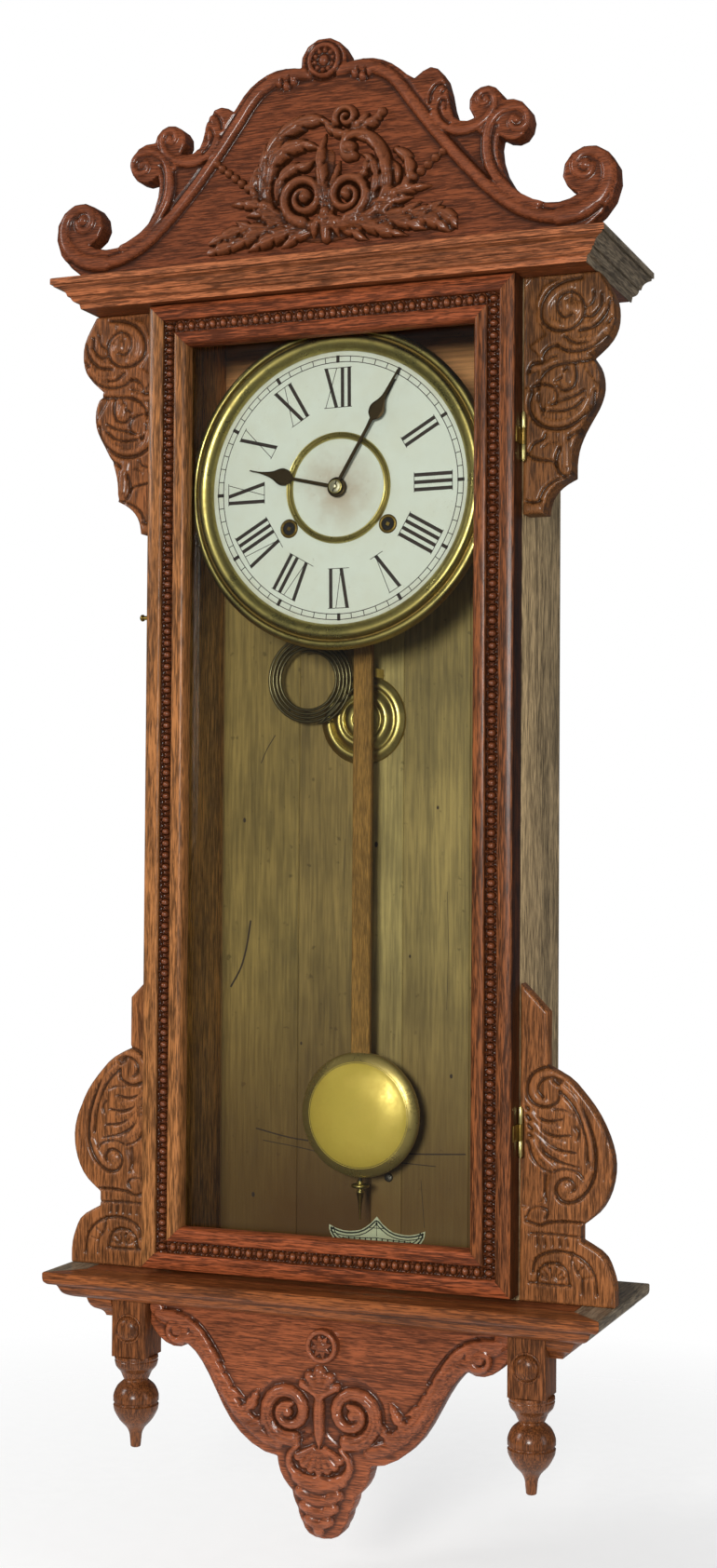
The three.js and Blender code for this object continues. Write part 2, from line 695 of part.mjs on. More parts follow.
// A spade hand that points up, from its hub out to its tip, on a pipe that reaches back to y = pipe.
function hand({ hub, bore, stem, bulbAt, bulbHalf, length, tipHalf, front, rear, pipe }) {
  const bulbStart = bulbAt - bulbHalf * 1.15;
  const edge = [
    [[stem, hub * 0.9], [stem, bulbStart]],
    [
      [stem, bulbStart], [bulbHalf * 0.86, bulbAt - bulbHalf * 0.5], [bulbHalf, bulbAt],
      [bulbHalf * 0.84, bulbAt + bulbHalf * 0.62], [mix(tipHalf, bulbHalf, 0.44), bulbAt + bulbHalf * 1.5],
      [mix(tipHalf, bulbHalf, 0.12), mix(bulbAt, length, 0.62)], [tipHalf, length],
    ],
  ];
  const other = [...edge].reverse().map((run) => mirrored([...run].reverse()));
  const tip = [[tipHalf, length], [-tipHalf, length]];
  const foot = [[-stem, hub * 0.9], [stem, hub * 0.9]];
  const blade = sawn(outline(...edge, tip, ...other, foot), front, rear, 1);
  const disc = rod(0, 0, hub, front, rear, 20);
  const sleeve = rod(0, 0, bore + 0.9, front, pipe, 16);
  return cut(joined(blade, disc, sleeve), rod(0, 0, bore, front - 1, pipe + 1, 16));
}

const clockwise = (geometry, degrees) => geometry.rotateY(THREE.MathUtils.degToRad(degrees));

const HOUR_HAND = {
  hub: 7.4, bore: 2.3, stem: 1.3, bulbAt: 45, bulbHalf: 6.3, length: 72.8, tipHalf: 0.5,
  front: 3.2, rear: 4, pipe: 15.4,
};
const MINUTE_HAND = {
  hub: 5.2, bore: 2.3, stem: 1.3, bulbAt: 63.6, bulbHalf: 5.9, length: 96.8, tipHalf: 0.9,
  front: 0.8, rear: 1.6, pipe: 2.4,
};
add("hour_hand", clockwise(hand(HOUR_HAND), HOUR_ANGLE), FINISH.blued);
add("minute_hand", clockwise(hand(MINUTE_HAND), MINUTE_ANGLE), FINISH.blued);

// ---------------------------------------------------------------- movement

// A plate of the movement with a clear hole for each arbor that passes it.
function plate(front, holes) {
  const blank = board(-PLATE_HALF, PLATE_HALF, front, front + PLATE_THICKNESS, PLATE_FOOT, PLATE_TOP);
  const drills = holes.map(([x, z, radius]) => {
    return rod(x, z, radius, front - 1, front + PLATE_THICKNESS + 1, 8);
  });
  return cut(blank, ...drills);
}

const HAMMER_X = -26;
const HAMMER_Z = -52;
const ESCAPE_Z = 60;
const ARBOR_HOLES = [
  [0, 0, 3],
  [-WINDING_X, WINDING_Z, 3.2],
  [WINDING_X, WINDING_Z, 3.2],
  [0, ESCAPE_Z, 1.6],
  [0, SUSPENSION_Z, 1.6],
  [HAMMER_X, HAMMER_Z, 1.6],
];
add("front_plate", plate(FRONT_PLATE, ARBOR_HOLES), FINISH.brass);

function backPlate() {
  const pillars = [[-PILLAR_X, PLATE_FOOT + 8], [PILLAR_X, PLATE_FOOT + 8]];
  pillars.push([-PILLAR_X, PLATE_TOP - 8], [PILLAR_X, PLATE_TOP - 8]);
  const front = FRONT_PLATE + PLATE_THICKNESS + GAP;
  const posts = pillars.map(([x, z]) => rod(x, z, 3.4, front, BACK_PLATE + 0.5, 8));
  return joined(plate(BACK_PLATE, ARBOR_HOLES), ...posts);
}
add("back_plate", backPlate(), FINISH.brass);

// A toothed wheel drawn about its own centre.
function wheelShape(teeth, rootRadius, tipRadius) {
  const points = [];
  const shares = [[0, rootRadius], [0.25, tipRadius], [0.5, tipRadius], [0.75, rootRadius]];
  for (let tooth = 0; tooth < teeth; tooth += 1) {
    for (const [share, radius] of shares) {
      const angle = (2 * Math.PI * (tooth + share)) / teeth;
      points.push([radius * Math.cos(angle), radius * Math.sin(angle)]);
    }
  }
  return polygon(points);
}

// A great wheel on its winding arbor, whose square end reaches towards the dial.
function greatWheel(x) {
  const wheel = sawn(wheelShape(24, 20.4, 22.6), 40, 42).translate(x, 0, WINDING_Z);
  const arbor = rod(x, WINDING_Z, 2.8, 13, BACK_PLATE + 1.6, 12);
  const square = board(x - 1.8, x + 1.8, 9.4, 14, WINDING_Z - 1.8, WINDING_Z + 1.8);
  return joined(wheel, arbor, square);
}

// An open mainspring: a flat strip wound outwards round the arbor.
function mainspring(x) {
  const turns = 3.5;
  const steps = 40;
  const strip = 0.9;
  const inner = 4.6;
  const outer = 18;
  const edge = (offset) =>
    Array.from({ length: steps + 1 }, (_, i) => {
      const angle = (2 * Math.PI * turns * i) / steps;
      const radius = mix(inner, outer, i / steps) + offset;
      return [radius * Math.cos(angle), radius * Math.sin(angle)];
    });
  const shape = polygon([...edge(strip), ...edge(0).reverse()]);
  return sawn(shape, 20.6, 38.6).translate(x, 0, WINDING_Z);
}

add("time_wheel", greatWheel(WINDING_X), FINISH.brass);
add("strike_wheel", greatWheel(-WINDING_X), FINISH.brass);
add("time_mainspring", mainspring(WINDING_X), FINISH.steel);
add("strike_mainspring", mainspring(-WINDING_X), FINISH.steel);

// The centre arbor carries the minute hand, held on by a slotted brass nut with a pin across it.
function centreArbor() {
  const shaft = rod(0, 0, 2, -2.4, BACK_PLATE + 1.6, 16);
  const nut = turnedForward([[0, 0], [5, 0], [5.2, 1.2], [3.6, 2.6], [0, 3]], 20);
  const wheel = sawn(wheelShape(16, 12, 13.6), 32, 33.4);
  return joined(shaft, nut.translate(0, 0.5, 0), wheel);
}
add("centre_arbor", centreArbor(), FINISH.brass);

function escapeWheel() {
  const teeth = 30;
  const points = [];
  for (let tooth = 0; tooth < teeth; tooth += 1) {
    const angle = (2 * Math.PI * tooth) / teeth;
    const next = angle + (0.5 * Math.PI) / teeth;
    points.push([14 * Math.cos(angle), 14 * Math.sin(angle)]);
    points.push([11.4 * Math.cos(next), 11.4 * Math.sin(next)]);
  }
  const wheel = sawn(polygon(points), 40, 41.2);
  return joined(wheel, rod(0, 0, 1.2, 16.4, 47.6, 10)).translate(0, 0, ESCAPE_Z);
}
add("escape_wheel", escapeWheel(), FINISH.brass);

// The verge: pallets over the escape wheel, an arbor through the back plate, and a crutch whose
// fork stands on both sides of the pendulum's stick.
function verge() {
  const arbor = rod(0, SUSPENSION_Z, 1.2, 16.4, 53.6, 10);
  const anchor = outline(
    [[-3, SUSPENSION_Z + 3], [3, SUSPENSION_Z + 3]],
    [[3, SUSPENSION_Z + 3], [12, SUSPENSION_Z - 3], [16, SUSPENSION_Z - 13.6]],
    [[16, SUSPENSION_Z - 13.6], [12, SUSPENSION_Z - 12.4]],
    [[12, SUSPENSION_Z - 12.4], [8, SUSPENSION_Z - 6], [0, SUSPENSION_Z - 3]],
    [[0, SUSPENSION_Z - 3], [-8, SUSPENSION_Z - 6], [-12, SUSPENSION_Z - 12.4]],
    [[-12, SUSPENSION_Z - 12.4], [-16, SUSPENSION_Z - 13.6]],
    [[-16, SUSPENSION_Z - 13.6], [-12, SUSPENSION_Z - 3], [-3, SUSPENSION_Z + 3]],
  );
  const reach = STICK_WIDTH / 2 + 0.5;
  const wire = board(-1, 1, 51, 53.4, 0, SUSPENSION_Z);
  const bridge = board(-reach - 1.6, reach + 1.6, 51, 53.4, 0, 3);
  const prongs = [-1, 1].map((side) => {
    const x = side * (reach + 0.8);
    return board(x - 0.8, x + 0.8, 51, PENDULUM_Y + 3.5, 0, 3);
  });
  return joined(arbor, sawn(anchor, 39.6, 41.6), wire, bridge, ...prongs);
}
add("verge", verge(), FINISH.steel);

// The bracket that carries the movement: a plate on the backboard with two arms under the plates.
function seatBracket() {
  const top = PLATE_FOOT - GAP;
  const back = board(-34, 34, BACK_FRONT - 3.2, BACK_FRONT, top - 26, top + 14);
  const arms = [-1, 1].map((side) => {
    const x = side * 24.5;
    return board(x - 3, x + 3, FRONT_PLATE - 2, BACK_FRONT - 1, top - 8, top);
  });
  return joined(back, ...arms);
}
add("seat_bracket", seatBracket(), FINISH.blued);

// The cock on the backboard that the pendulum's spring hangs from.
function suspensionCock() {
  const foot = board(-10, 10, BACK_FRONT - 2.4, BACK_FRONT, SUSPENSION_Z - 8, SUSPENSION_Z + 16);
  const arm = board(-5, 5, 56, BACK_FRONT - 1, SUSPENSION_Z + GAP, SUSPENSION_Z + 9);
  return joined(foot, arm);
}
add("suspension_cock", suspensionCock(), FINISH.brass);

// ---------------------------------------------------------------- strike

// The hammer hangs from its arbor and stands just over the top of the gong's coil.
function hammer() {
  const arbor = rod(HAMMER_X, HAMMER_Z, 1.2, 16.4, COIL_Y + 1, 10);
  const headX = -53;
  const headZ = -91;
  const length = Math.hypot(headX - HAMMER_X, headZ - HAMMER_Z);
  const tilt = Math.atan2(headX - HAMMER_X, headZ - HAMMER_Z);
  const wire = post(0, 0, 1.1, 0, length, 8).rotateY(tilt).translate(HAMMER_X, COIL_Y - 0.4, HAMMER_Z);
  const head = post(0, 0, 4.6, -5, 6, 14).rotateY(tilt).translate(headX, COIL_Y - 0.4, headZ);
  return joined(arbor, wire, head);
}
add("hammer", hammer(), FINISH.blued);

// The gong's base: a stepped brass dish with a lug for the coil's end.
function gongBase() {
  const profile = [
    [0, 0], [34.8, 0], [34.8, 2], [30.8, 4.4], [27, 4.4], [26, 3.2], [21, 6.6],
    [17.4, 6.6], [15.6, 5.2], [11.6, 7.6], [4.8, 8.4], [0, 8.8],
  ];
  const dish = turnedForward(profile, 24).translate(GONG_X, BACK_FRONT, GONG_Z);
  const arm = board(-4, 4, BACK_FRONT - 2.6, BACK_FRONT, 0, 38).rotateY(THREE.MathUtils.degToRad(20));
  const lugX = 4;
  const lugZ = -133;
  const lug = board(lugX - 3.4, lugX + 3.4, COIL_Y - 3.4, BACK_FRONT, lugZ - 3.4, lugZ + 3.4);
  return joined(dish, arm.translate(GONG_X, 0, GONG_Z), lug);
}
add("gong_base", gongBase(), FINISH.brass);

// The coil: a flat spiral of steel wire whose outer end runs straight to the lug.
class GongCurve extends THREE.Curve {
  getPoint(t) {
    const turns = 4.5;
    const inner = 22;
    const pitch = 3;
    const tail = 0.08;
    const wound = Math.min(t / (1 - tail), 1);
    const startAngle = Math.PI * 0.58;
    const angle = startAngle - 2 * Math.PI * turns * wound;
    const radius = inner + pitch * turns * wound;
    const point = new THREE.Vector3(radius * Math.cos(angle), 0, radius * Math.sin(angle));
    const past = Math.max(t - (1 - tail), 0) / tail;
    const end = new THREE.Vector3(49.6, 0, 4);
    return point.lerp(end, past).add(new THREE.Vector3(COIL_X, COIL_Y, COIL_Z));
  }
}

function gongCoil() {
  const section = polygon([[-1.1, 0], [0, -1.3], [1.1, 0], [0, 1.3]]);
  const settings = { steps: 80, bevelEnabled: false, extrudePath: new GongCurve() };
  return new THREE.ExtrudeGeometry(section, settings);
}
add("gong_coil", gongCoil(), FINISH.blued);

// ---------------------------------------------------------------- pendulum

const stickFront = PENDULUM_Y - STICK_THICKNESS / 2;
const stickRear = PENDULUM_Y + STICK_THICKNESS / 2;

// The wooden stick with the steel hook and the thin suspension spring at its top.
function pendulumStick() {
  const half = STICK_WIDTH / 2;
  const wood = board(-half, half, stickFront, stickRear, STICK_FOOT, 30);
  const hook = board(-3, 3, PENDULUM_Y - 1, PENDULUM_Y + 1, 28, 66);
  const spring = board(-4, 4, PENDULUM_Y - 0.3, PENDULUM_Y + 0.3, 62, SUSPENSION_Z - GAP);
  const screw = post(0, PENDULUM_Y, 1.4, -524, STICK_FOOT + 1, 10);
  return joined(wood, hook, spring, screw);
}
add("pendulum_stick", pendulumStick(), FINISH.oak);

// The bob is a brass lens with a flat rim, slotted from behind for the stick.
function bob() {
  const half = BOB_THICKNESS / 2;
  const profile = [
    [0, -half + 3], [30, -half + 4.4], [BOB_RADIUS, -1.6], [BOB_RADIUS, 2.2],
    [BOB_RADIUS - 4.6, 4], [36, 7.6], [22, 10.8], [0, half],
  ];
  const lens = turnedForward(profile, 32).translate(0, PENDULUM_Y, BOB_Z);
  const slotHalf = STICK_WIDTH / 2 + GAP;
  const slot = board(-slotHalf, slotHalf, stickFront - GAP, stickRear + 20, BOB_Z - 60, BOB_Z + 60);
  return cut(lens, slot);
}
add("pendulum_bob", bob(), FINISH.brass);

// The rating nut under the stick, with its tapered pointer.
function ratingNut() {
  const profile = [
    [0, -30], [0.6, -30], [1.6, -16], [3, -9], [2.8, -7.6], [2, -7], [2, -5.6], [6.4, -5],
    [7, -3.6], [6.4, -2.4], [2.6, -2], [2.6, 0], [0, 0],
  ];
  const body = turned(profile, 12).translate(0, PENDULUM_Y, NUT_Z);
  return cut(body, post(0, PENDULUM_Y, 1.4 + GAP, NUT_Z - 5, NUT_Z + 2, 10));
}
add("rating_nut", ratingNut(), FINISH.brass);

// The scale on the backboard that shows how far the pendulum swings.
function beatScale() {
  const shape = outline(
    [[4.4, -550], [13, -558.4], [22, -562], [32, -562.4], [44, -558.6]],
    [[44, -558.6], [42.6, -565], [38, -570.4], [28, -574.4]],
    [[28, -574.4], [4.4, -576]],
    [[4.4, -576], [-19, -574.4]],
    [[-19, -574.4], [-29, -570.4], [-33.6, -565], [-35, -558.6]],
    [[-35, -558.6], [-23.2, -562.4], [-13.2, -562], [-4.2, -558.4], [4.4, -550]],
  );
  return sawn(shape, BACK_FRONT - 0.8, BACK_FRONT, 2);
}
add("beat_scale", beatScale(), FINISH.paper);

// ---------------------------------------------------------------- the finished clock

const part = new THREE.Group();
clock.position.set(0, -WALL, -HANGER_Z);
part.add(clock);

export default part;
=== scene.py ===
"""The looks of a carved oak pendulum wall clock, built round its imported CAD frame.

Lengths in the shape code are millimetres in the clock's own layout: x to the right of the dial's
centre, y back from the case's front edges, and z up from the dial's centre. place() turns them
into metres in the frame's axes.
"""
import json
import math

import bmesh
import bpy
import numpy as np
from mathutils import Matrix, Vector

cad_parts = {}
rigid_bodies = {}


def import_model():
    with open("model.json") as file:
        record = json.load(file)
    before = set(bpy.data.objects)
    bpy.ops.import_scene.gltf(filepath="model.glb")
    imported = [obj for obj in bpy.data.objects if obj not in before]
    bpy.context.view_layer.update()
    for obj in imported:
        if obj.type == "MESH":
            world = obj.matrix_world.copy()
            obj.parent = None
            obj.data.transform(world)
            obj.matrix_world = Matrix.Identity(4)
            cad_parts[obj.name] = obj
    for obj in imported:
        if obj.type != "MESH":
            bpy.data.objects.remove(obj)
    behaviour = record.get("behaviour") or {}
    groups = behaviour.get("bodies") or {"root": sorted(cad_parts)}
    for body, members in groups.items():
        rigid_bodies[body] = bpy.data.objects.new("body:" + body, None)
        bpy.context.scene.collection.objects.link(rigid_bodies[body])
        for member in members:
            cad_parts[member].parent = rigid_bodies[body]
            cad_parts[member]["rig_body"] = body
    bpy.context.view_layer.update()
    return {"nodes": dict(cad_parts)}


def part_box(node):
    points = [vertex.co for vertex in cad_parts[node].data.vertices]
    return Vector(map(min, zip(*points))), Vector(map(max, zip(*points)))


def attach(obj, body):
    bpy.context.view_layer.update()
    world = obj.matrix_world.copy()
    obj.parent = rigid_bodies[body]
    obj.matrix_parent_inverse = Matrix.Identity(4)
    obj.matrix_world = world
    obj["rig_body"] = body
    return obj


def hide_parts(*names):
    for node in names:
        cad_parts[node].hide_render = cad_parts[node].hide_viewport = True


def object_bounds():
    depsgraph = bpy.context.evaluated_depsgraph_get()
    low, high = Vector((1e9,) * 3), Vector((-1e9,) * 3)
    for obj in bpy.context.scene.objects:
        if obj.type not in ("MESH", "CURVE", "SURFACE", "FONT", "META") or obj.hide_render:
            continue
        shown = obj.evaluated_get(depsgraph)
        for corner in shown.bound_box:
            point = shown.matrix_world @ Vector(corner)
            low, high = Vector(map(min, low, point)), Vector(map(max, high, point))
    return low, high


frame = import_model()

NODES = frame["nodes"]


def middle(node):
    """The middle of a node's box, in frame metres."""
    low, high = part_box(node)
    return (low + high) / 2


CENTRE_X = middle("dial").x * 1000
CENTRE_Z = middle("dial").z * 1000
CASE_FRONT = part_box("side_right")[0].y * 1000


LAYOUT_ORIGIN = np.array([CENTRE_X, CASE_FRONT, CENTRE_Z])


def place(points):
    """Layout millimetres to frame metres."""
    return (np.asarray(points, float).reshape(-1, 3) + LAYOUT_ORIGIN) / 1000


def box_mm(node):
    """A node's box in layout millimetres, as two arrays."""
    return [np.array(corner) * 1000 - LAYOUT_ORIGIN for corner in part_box(node)]


def linear(r, g, b):
    """A colour given in 0 to 255 display values, as a linear one."""
    out = []
    for value in (r, g, b):
        share = value / 255
        out.append(share / 12.92 if share < 0.04045 else ((share + 0.055) / 1.055) ** 2.4)
    return out


# ---------------------------------------------------------------- materials

class Nodes:
    """A material's node tree, with short ways to add to it."""

    def __init__(self, name):
        self.material = bpy.data.materials.new(name)
        self.material.use_nodes = True
        self.tree = self.material.node_tree
        self.shader = self.tree.nodes["Principled BSDF"]
        coords = self.tree.nodes.new("ShaderNodeTexCoord")
        self.here = coords.outputs["Object"]

    def add(self, kind, inputs=None, **settings):
        node = self.tree.nodes.new("ShaderNode" + kind)
        for key, value in settings.items():
            setattr(node, key, value)
        for key, value in (inputs or {}).items():
            self.set(node.inputs[key], value)
        return node

    def set(self, socket, value):
        if isinstance(value, bpy.types.NodeSocket):
            self.tree.links.new(value, socket)
        else:
            socket.default_value = value

    def scaled(self, scale, shift=(0, 0, 0)):
        """The object's own coordinates, scaled and then shifted."""
        node = self.add("Mapping", {"Vector": self.here, "Scale": scale, "Location": shift})
        return node.outputs["Vector"]

    def noise(self, vector, scale=1.0, detail=2.0, rough=0.5, distort=0.0):
        node = self.add("TexNoise", {
            "Vector": vector, "Scale": scale, "Detail": detail, "Roughness": rough,
            "Distortion": distort,
        })
        return node.outputs["Fac"]

    def math(self, operation, a, b=0.0):
        return self.add("Math", {0: a, 1: b}, operation=operation).outputs["Value"]

    def ramp(self, value, *stops):
        node = self.add("ValToRGB", {"Fac": value})
        elements = node.color_ramp.elements
        while len(elements) < len(stops):
            elements.new(0.5)
        for element, (position, color) in zip(elements, stops):
            element.position = position
            element.color = (*color, 1) if hasattr(color, "__len__") else (color, color, color, 1)
        return node.outputs["Color"]

    def span(self, value, low, high, to_low=0.0, to_high=1.0):
        node = self.add("MapRange", {
            "Value": value, "From Min": low, "From Max": high, "To Min": to_low, "To Max": to_high,
        })
        return node.outputs["Result"]

    def mix(self, share, a, b, blend="MIX"):
        node = self.add("Mix", data_type="RGBA", blend_type=blend)
        self.set(node.inputs[0], share)
        for socket, value in ((node.inputs[6], a), (node.inputs[7], b)):
            if not isinstance(value, bpy.types.NodeSocket):
                value = (*value, 1) if hasattr(value, "__len__") else (value, value, value, 1)
            self.set(socket, value)
        return node.outputs[2]

    def bump(self, height, strength, distance):
        node = self.add("Bump", {"Height": height, "Strength": strength, "Distance": distance})
        return node.outputs["Normal"]

    def finish(self, color, rough, metal=0.0, normal=None, coat=0.0, coat_rough=0.2, gloss=0.5):
        inputs = self.shader.inputs
        self.set(inputs["Base Color"],
                 color if isinstance(color, bpy.types.NodeSocket) else (*color, 1))
        self.set(inputs["Roughness"], rough)
        inputs["Metallic"].default_value = metal
        inputs["Specular IOR Level"].default_value = gloss
        inputs["Coat Weight"].default_value = coat
        inputs["Coat Roughness"].default_value = coat_rough
        if normal is not None:
            self.set(inputs["Normal"], normal)
        return self.material


WARMTH = (1.05, 0.84, 0.56)
GRAIN = {"x": 0, "y": 1, "z": 2}


def oak(name, tone, along, contrast=1.0, coarse=1.0, shift=0.0, coat=0.25, rough=0.42, coat_rough=0.2,
        zone=None):
    """Varnished oak: streaks and open pores along the grain, with painted shade in the hollows of any
    carving and a painted highlight on its crests."""
    n = Nodes(name)
    run = GRAIN[along]

    def grain_space(across, length):
        scale = [across / coarse] * 3
        scale[run] = length / coarse
        return n.scaled(scale, (shift, shift * 1.7, shift * 0.6))

    bands = n.noise(grain_space(62, 6), 1, 3, 0.6, 1.0)
    fibres = n.noise(grain_space(900, 56), 1, 3, 0.65, 0.2)
    pores = n.noise(grain_space(1200, 84), 1, 1, 0.5)
    blotches = n.noise(n.here, 13, 3, 0.6)
    streak = n.math("ADD", n.math("MULTIPLY", bands, 0.34), n.math("MULTIPLY", fibres, 0.66))
    base = np.array(linear(*tone)) * WARMTH
    dark = base * (1 - 0.58 * contrast)
    light = np.minimum(base * (1 + 0.5 * contrast), 1)
    spread = 0.07
    wood = n.ramp(streak, (0.5 - spread, dark), (0.5 - spread * 0.25, base * 0.86),
                  (0.5 + spread * 0.35, base * 1.12), (0.5 + spread, light))
    open_pores = n.span(pores, 0.55, 0.63)
    wood = n.mix(n.math("MULTIPLY", open_pores, 0.66 * min(contrast, 1.2)), wood, base * 0.22)
    wood = n.mix(0.55, wood, n.ramp(blotches, (0.3, 0.76), (0.7, 1.2)), "MULTIPLY")
    # painted shade in the hollows and a painted highlight on the crests of any carving, from the mesh's
    # relief shade
    carve = n.add("Attribute", attribute_name="carve").outputs["Fac"]
    hollow_shade = n.span(carve, -0.04, -0.65, 0, 0.8)
    crest_highlight = n.span(carve, 0.1, 1.0, 0, 0.42)
    wood = n.mix(hollow_shade, wood, base * 0.15)
    wood = n.mix(crest_highlight, wood, np.minimum(base * 1.9 + 0.02, 1))
    # painted light: past the reach in |x| the wood is multiplied by change, for a painted shadow or a
    # differently lit face
    if zone:
        comparison, reach, change = zone
        across = n.math("ABSOLUTE", n.add("SeparateXYZ", {"Vector": n.here}).outputs["X"])
        wood = n.mix(n.math(comparison, across, reach), wood, change, "MULTIPLY")
    shine = n.span(fibres, 0.3, 0.7, rough - 0.07, rough + 0.12)
    relief = n.math("SUBTRACT", n.math("MULTIPLY", fibres, 0.4), n.math("MULTIPLY", open_pores, 0.7))
    return n.finish(wood, shine, 0, n.bump(relief, 0.45, 0.0005), coat, coat_rough, 0.1)


def metal(name, tone, tarnish, rough=0.3, wear=0.5, grain=(300, 300, 300), shift=0.0, metallic=1.0):
    """Old metal: a bright body with brown tarnish in cloudy patches, and fine scratches."""
    n = Nodes(name)
    clouds = n.noise(n.here, 42 + shift, 4, 0.65)
    specks = n.noise(n.here, 420, 2, 0.6)
    scratches = n.noise(n.scaled(grain), 1, 3, 0.6)
    patch = n.span(n.math("ADD", n.math("MULTIPLY", clouds, 0.75), n.math("MULTIPLY", specks, 0.25)),
                   0.42, 0.66)
    carve = n.add("Attribute", attribute_name="carve").outputs["Fac"]
    color = n.mix(n.math("MULTIPLY", patch, wear), linear(*tone), linear(*tarnish))
    color = n.mix(n.span(carve, -0.05, -0.9, 0, 0.8), color, np.array(linear(*tarnish)) * 0.35)
    shine = n.span(patch, 0, 1, rough, rough + 0.22)
    return n.finish(color, shine, metallic, n.bump(scratches, 0.12, 0.0003))


def plain(name, tone, stain, rough=0.5, scale=30.0, amount=0.4, coat=0.0):
    """A painted or printed surface with faint cloudy staining."""
    n = Nodes(name)
    clouds = n.noise(n.here, scale, 4, 0.6)
    specks = n.noise(n.here, scale * 14, 2, 0.6)
    share = n.math("MULTIPLY", n.span(clouds, 0.45, 0.75), amount)
    color = n.mix(share, linear(*tone), linear(*stain))
    color = n.mix(n.math("MULTIPLY", n.span(specks, 0.62, 0.75), 0.35 * amount), color, linear(*stain))
    return n.finish(color, n.span(clouds, 0.3, 0.7, rough - 0.05, rough + 0.1), 0,
                    n.bump(specks, 0.05, 0.0002), coat)


def window_glass():
    """Clear sheet glass: what is behind shows through, with a faint gloss that grows at a slant."""
    n = Nodes("glass_sheet")
    tree = n.tree
    clear = n.add("BsdfTransparent", {"Color": (0.965, 0.975, 0.955, 1)})
    ripple = n.bump(n.noise(n.scaled((9, 9, 3)), 1, 2), 0.15, 0.002)
    gloss = n.add("BsdfGlossy", {"Roughness": 0.03, "Normal": ripple})
    dust = n.span(n.noise(n.here, 60, 4, 0.7), 0.5, 0.8, 0.0, 0.02)
    share = n.math("ADD", n.math("MULTIPLY", n.add("Fresnel", {"IOR": 1.45}).outputs["Fac"], 0.85),
                   dust)
    both = n.add("MixShader", {"Fac": share})
    tree.links.new(clear.outputs[0], both.inputs[1])
    tree.links.new(gloss.outputs[0], both.inputs[2])
    tree.links.new(both.outputs[0], tree.nodes["Material Output"].inputs["Surface"])
    return n.material


OAK_ALONG_X = oak("oak_rail", (112, 66, 44), "x", 0.85, 1.0, 0.3)
OAK_FRONT = oak("oak_front_moulding", (148, 97, 74), "x", 1.0, 1.0, 2.1)
OAK_SHELF = oak("oak_shelf_moulding", (122, 76, 48), "x", 1.0, 1.0, 4.4)
# painted light: the returns' grey tone stands for a cool sheen on the end faces
OAK_RETURN_SHEEN = oak("oak_return", (128, 126, 126), "y", 0.8, 1.0, 1.3, 0.15)
# painted light: the sides' pale grey tone stands for a cool sheen on their outer faces, and their inner
# faces are multiplied back to warm wood
SIDE_INSIDE = (box_mm("side_right")[0][0] + 0.4) / 1000
OAK_SIDE_SHEEN = oak("oak_side", (178, 168, 150), "z", 1.0, 1.1, 5.2, 0.05, 0.5, 0.2,
               ("LESS_THAN", SIDE_INSIDE, (1.34, 1.1, 0.77)))
# painted shadow on the door's outer edge faces, which sit in the gap beside the brackets
DOOR_EDGE_SHADOW = ("GREATER_THAN", (box_mm("door_stile_right")[1][0] - 0.5) / 1000, (0.34, 0.3, 0.28))
# painted light: the right stile is toned darker as shaded, the left lighter as lit from the left
OAK_STILE_SHADED = oak("oak_stile", (108, 68, 44), "z", 1.15, 1.1, 0.9, 0.15, zone=DOOR_EDGE_SHADOW)
OAK_STILE_LIT = oak("oak_stile_left", (140, 101, 70), "z", 1.0, 1.1, 3.9, 0.2, zone=DOOR_EDGE_SHADOW)
OAK_DOOR_RAIL = oak("oak_door_rail", (130, 74, 52), "x", 1.05, 1.0, 7.4, 0.15)
OAK_BRACKET = oak("oak_bracket", (128, 88, 60), "z", 1.0, 0.9, 3.3, 0.25, 0.42, 0.18)
# painted light: the right upper bracket is toned darker as shaded, the left one lighter as lit
OAK_BRACKET_SHADED = oak("oak_bracket_upper", (104, 73, 48), "z", 1.0, 0.9, 6.3, 0.25, 0.42, 0.18)
OAK_BRACKET_LIT = oak("oak_bracket_left", (120, 80, 54), "z", 1.0, 0.9, 6.3, 0.25, 0.42, 0.18)
OAK_PEDIMENT = oak("oak_pediment", (104, 60, 42), "x", 0.9, 0.85, 6.1, 0.25, 0.45, 0.16)
OAK_ORNAMENT = oak("oak_ornament", (100, 60, 40), "x", 0.8, 0.7, 8.8, 0.3, 0.46, 0.2)
OAK_APRON = oak("oak_apron", (124, 74, 54), "x", 0.9, 0.8, 9.2, 0.4, 0.45, 0.16)
OAK_BLOCK = oak("oak_block", (110, 72, 48), "z", 1.0, 0.9, 2.9, 0.2)
OAK_TURNED = oak("oak_turned", (108, 70, 46), "z", 0.9, 0.8, 7.7, 0.4, 0.36)
OAK_BEADS = oak("oak_beads", (112, 66, 42), "x", 0.4, 0.8, 3.9, 0.7, 0.26)
OAK_STICK = oak("oak_stick", (146, 120, 74), "z", 0.55, 0.7, 4.1, 0.15, 0.45)
BRASS = metal("brass_aged", (200, 184, 112), (122, 98, 52), 0.3, 0.55)
BRASS_BEZEL = metal("brass_bezel", (184, 170, 104), (128, 108, 58), 0.27, 0.5, (90, 90, 90), 3)
NUT = metal("nut_pale", (200, 194, 168), (124, 112, 84), 0.3, 0.4)
HINGE = metal("brass_hinge", (214, 200, 132), (104, 84, 44), 0.3, 0.5)
BRASS_DARK = metal("brass_brown", (140, 116, 58), (74, 52, 26), 0.36, 0.7)
BRASS_BOB = metal("brass_bob", (220, 194, 84), (200, 168, 66), 0.32, 0.4, (160, 160, 160), 5, 0.25)
BRASS_RIM = metal("brass_bob_rim", (176, 156, 92), (136, 116, 66), 0.24, 0.4, shift=2, metallic=0.75)
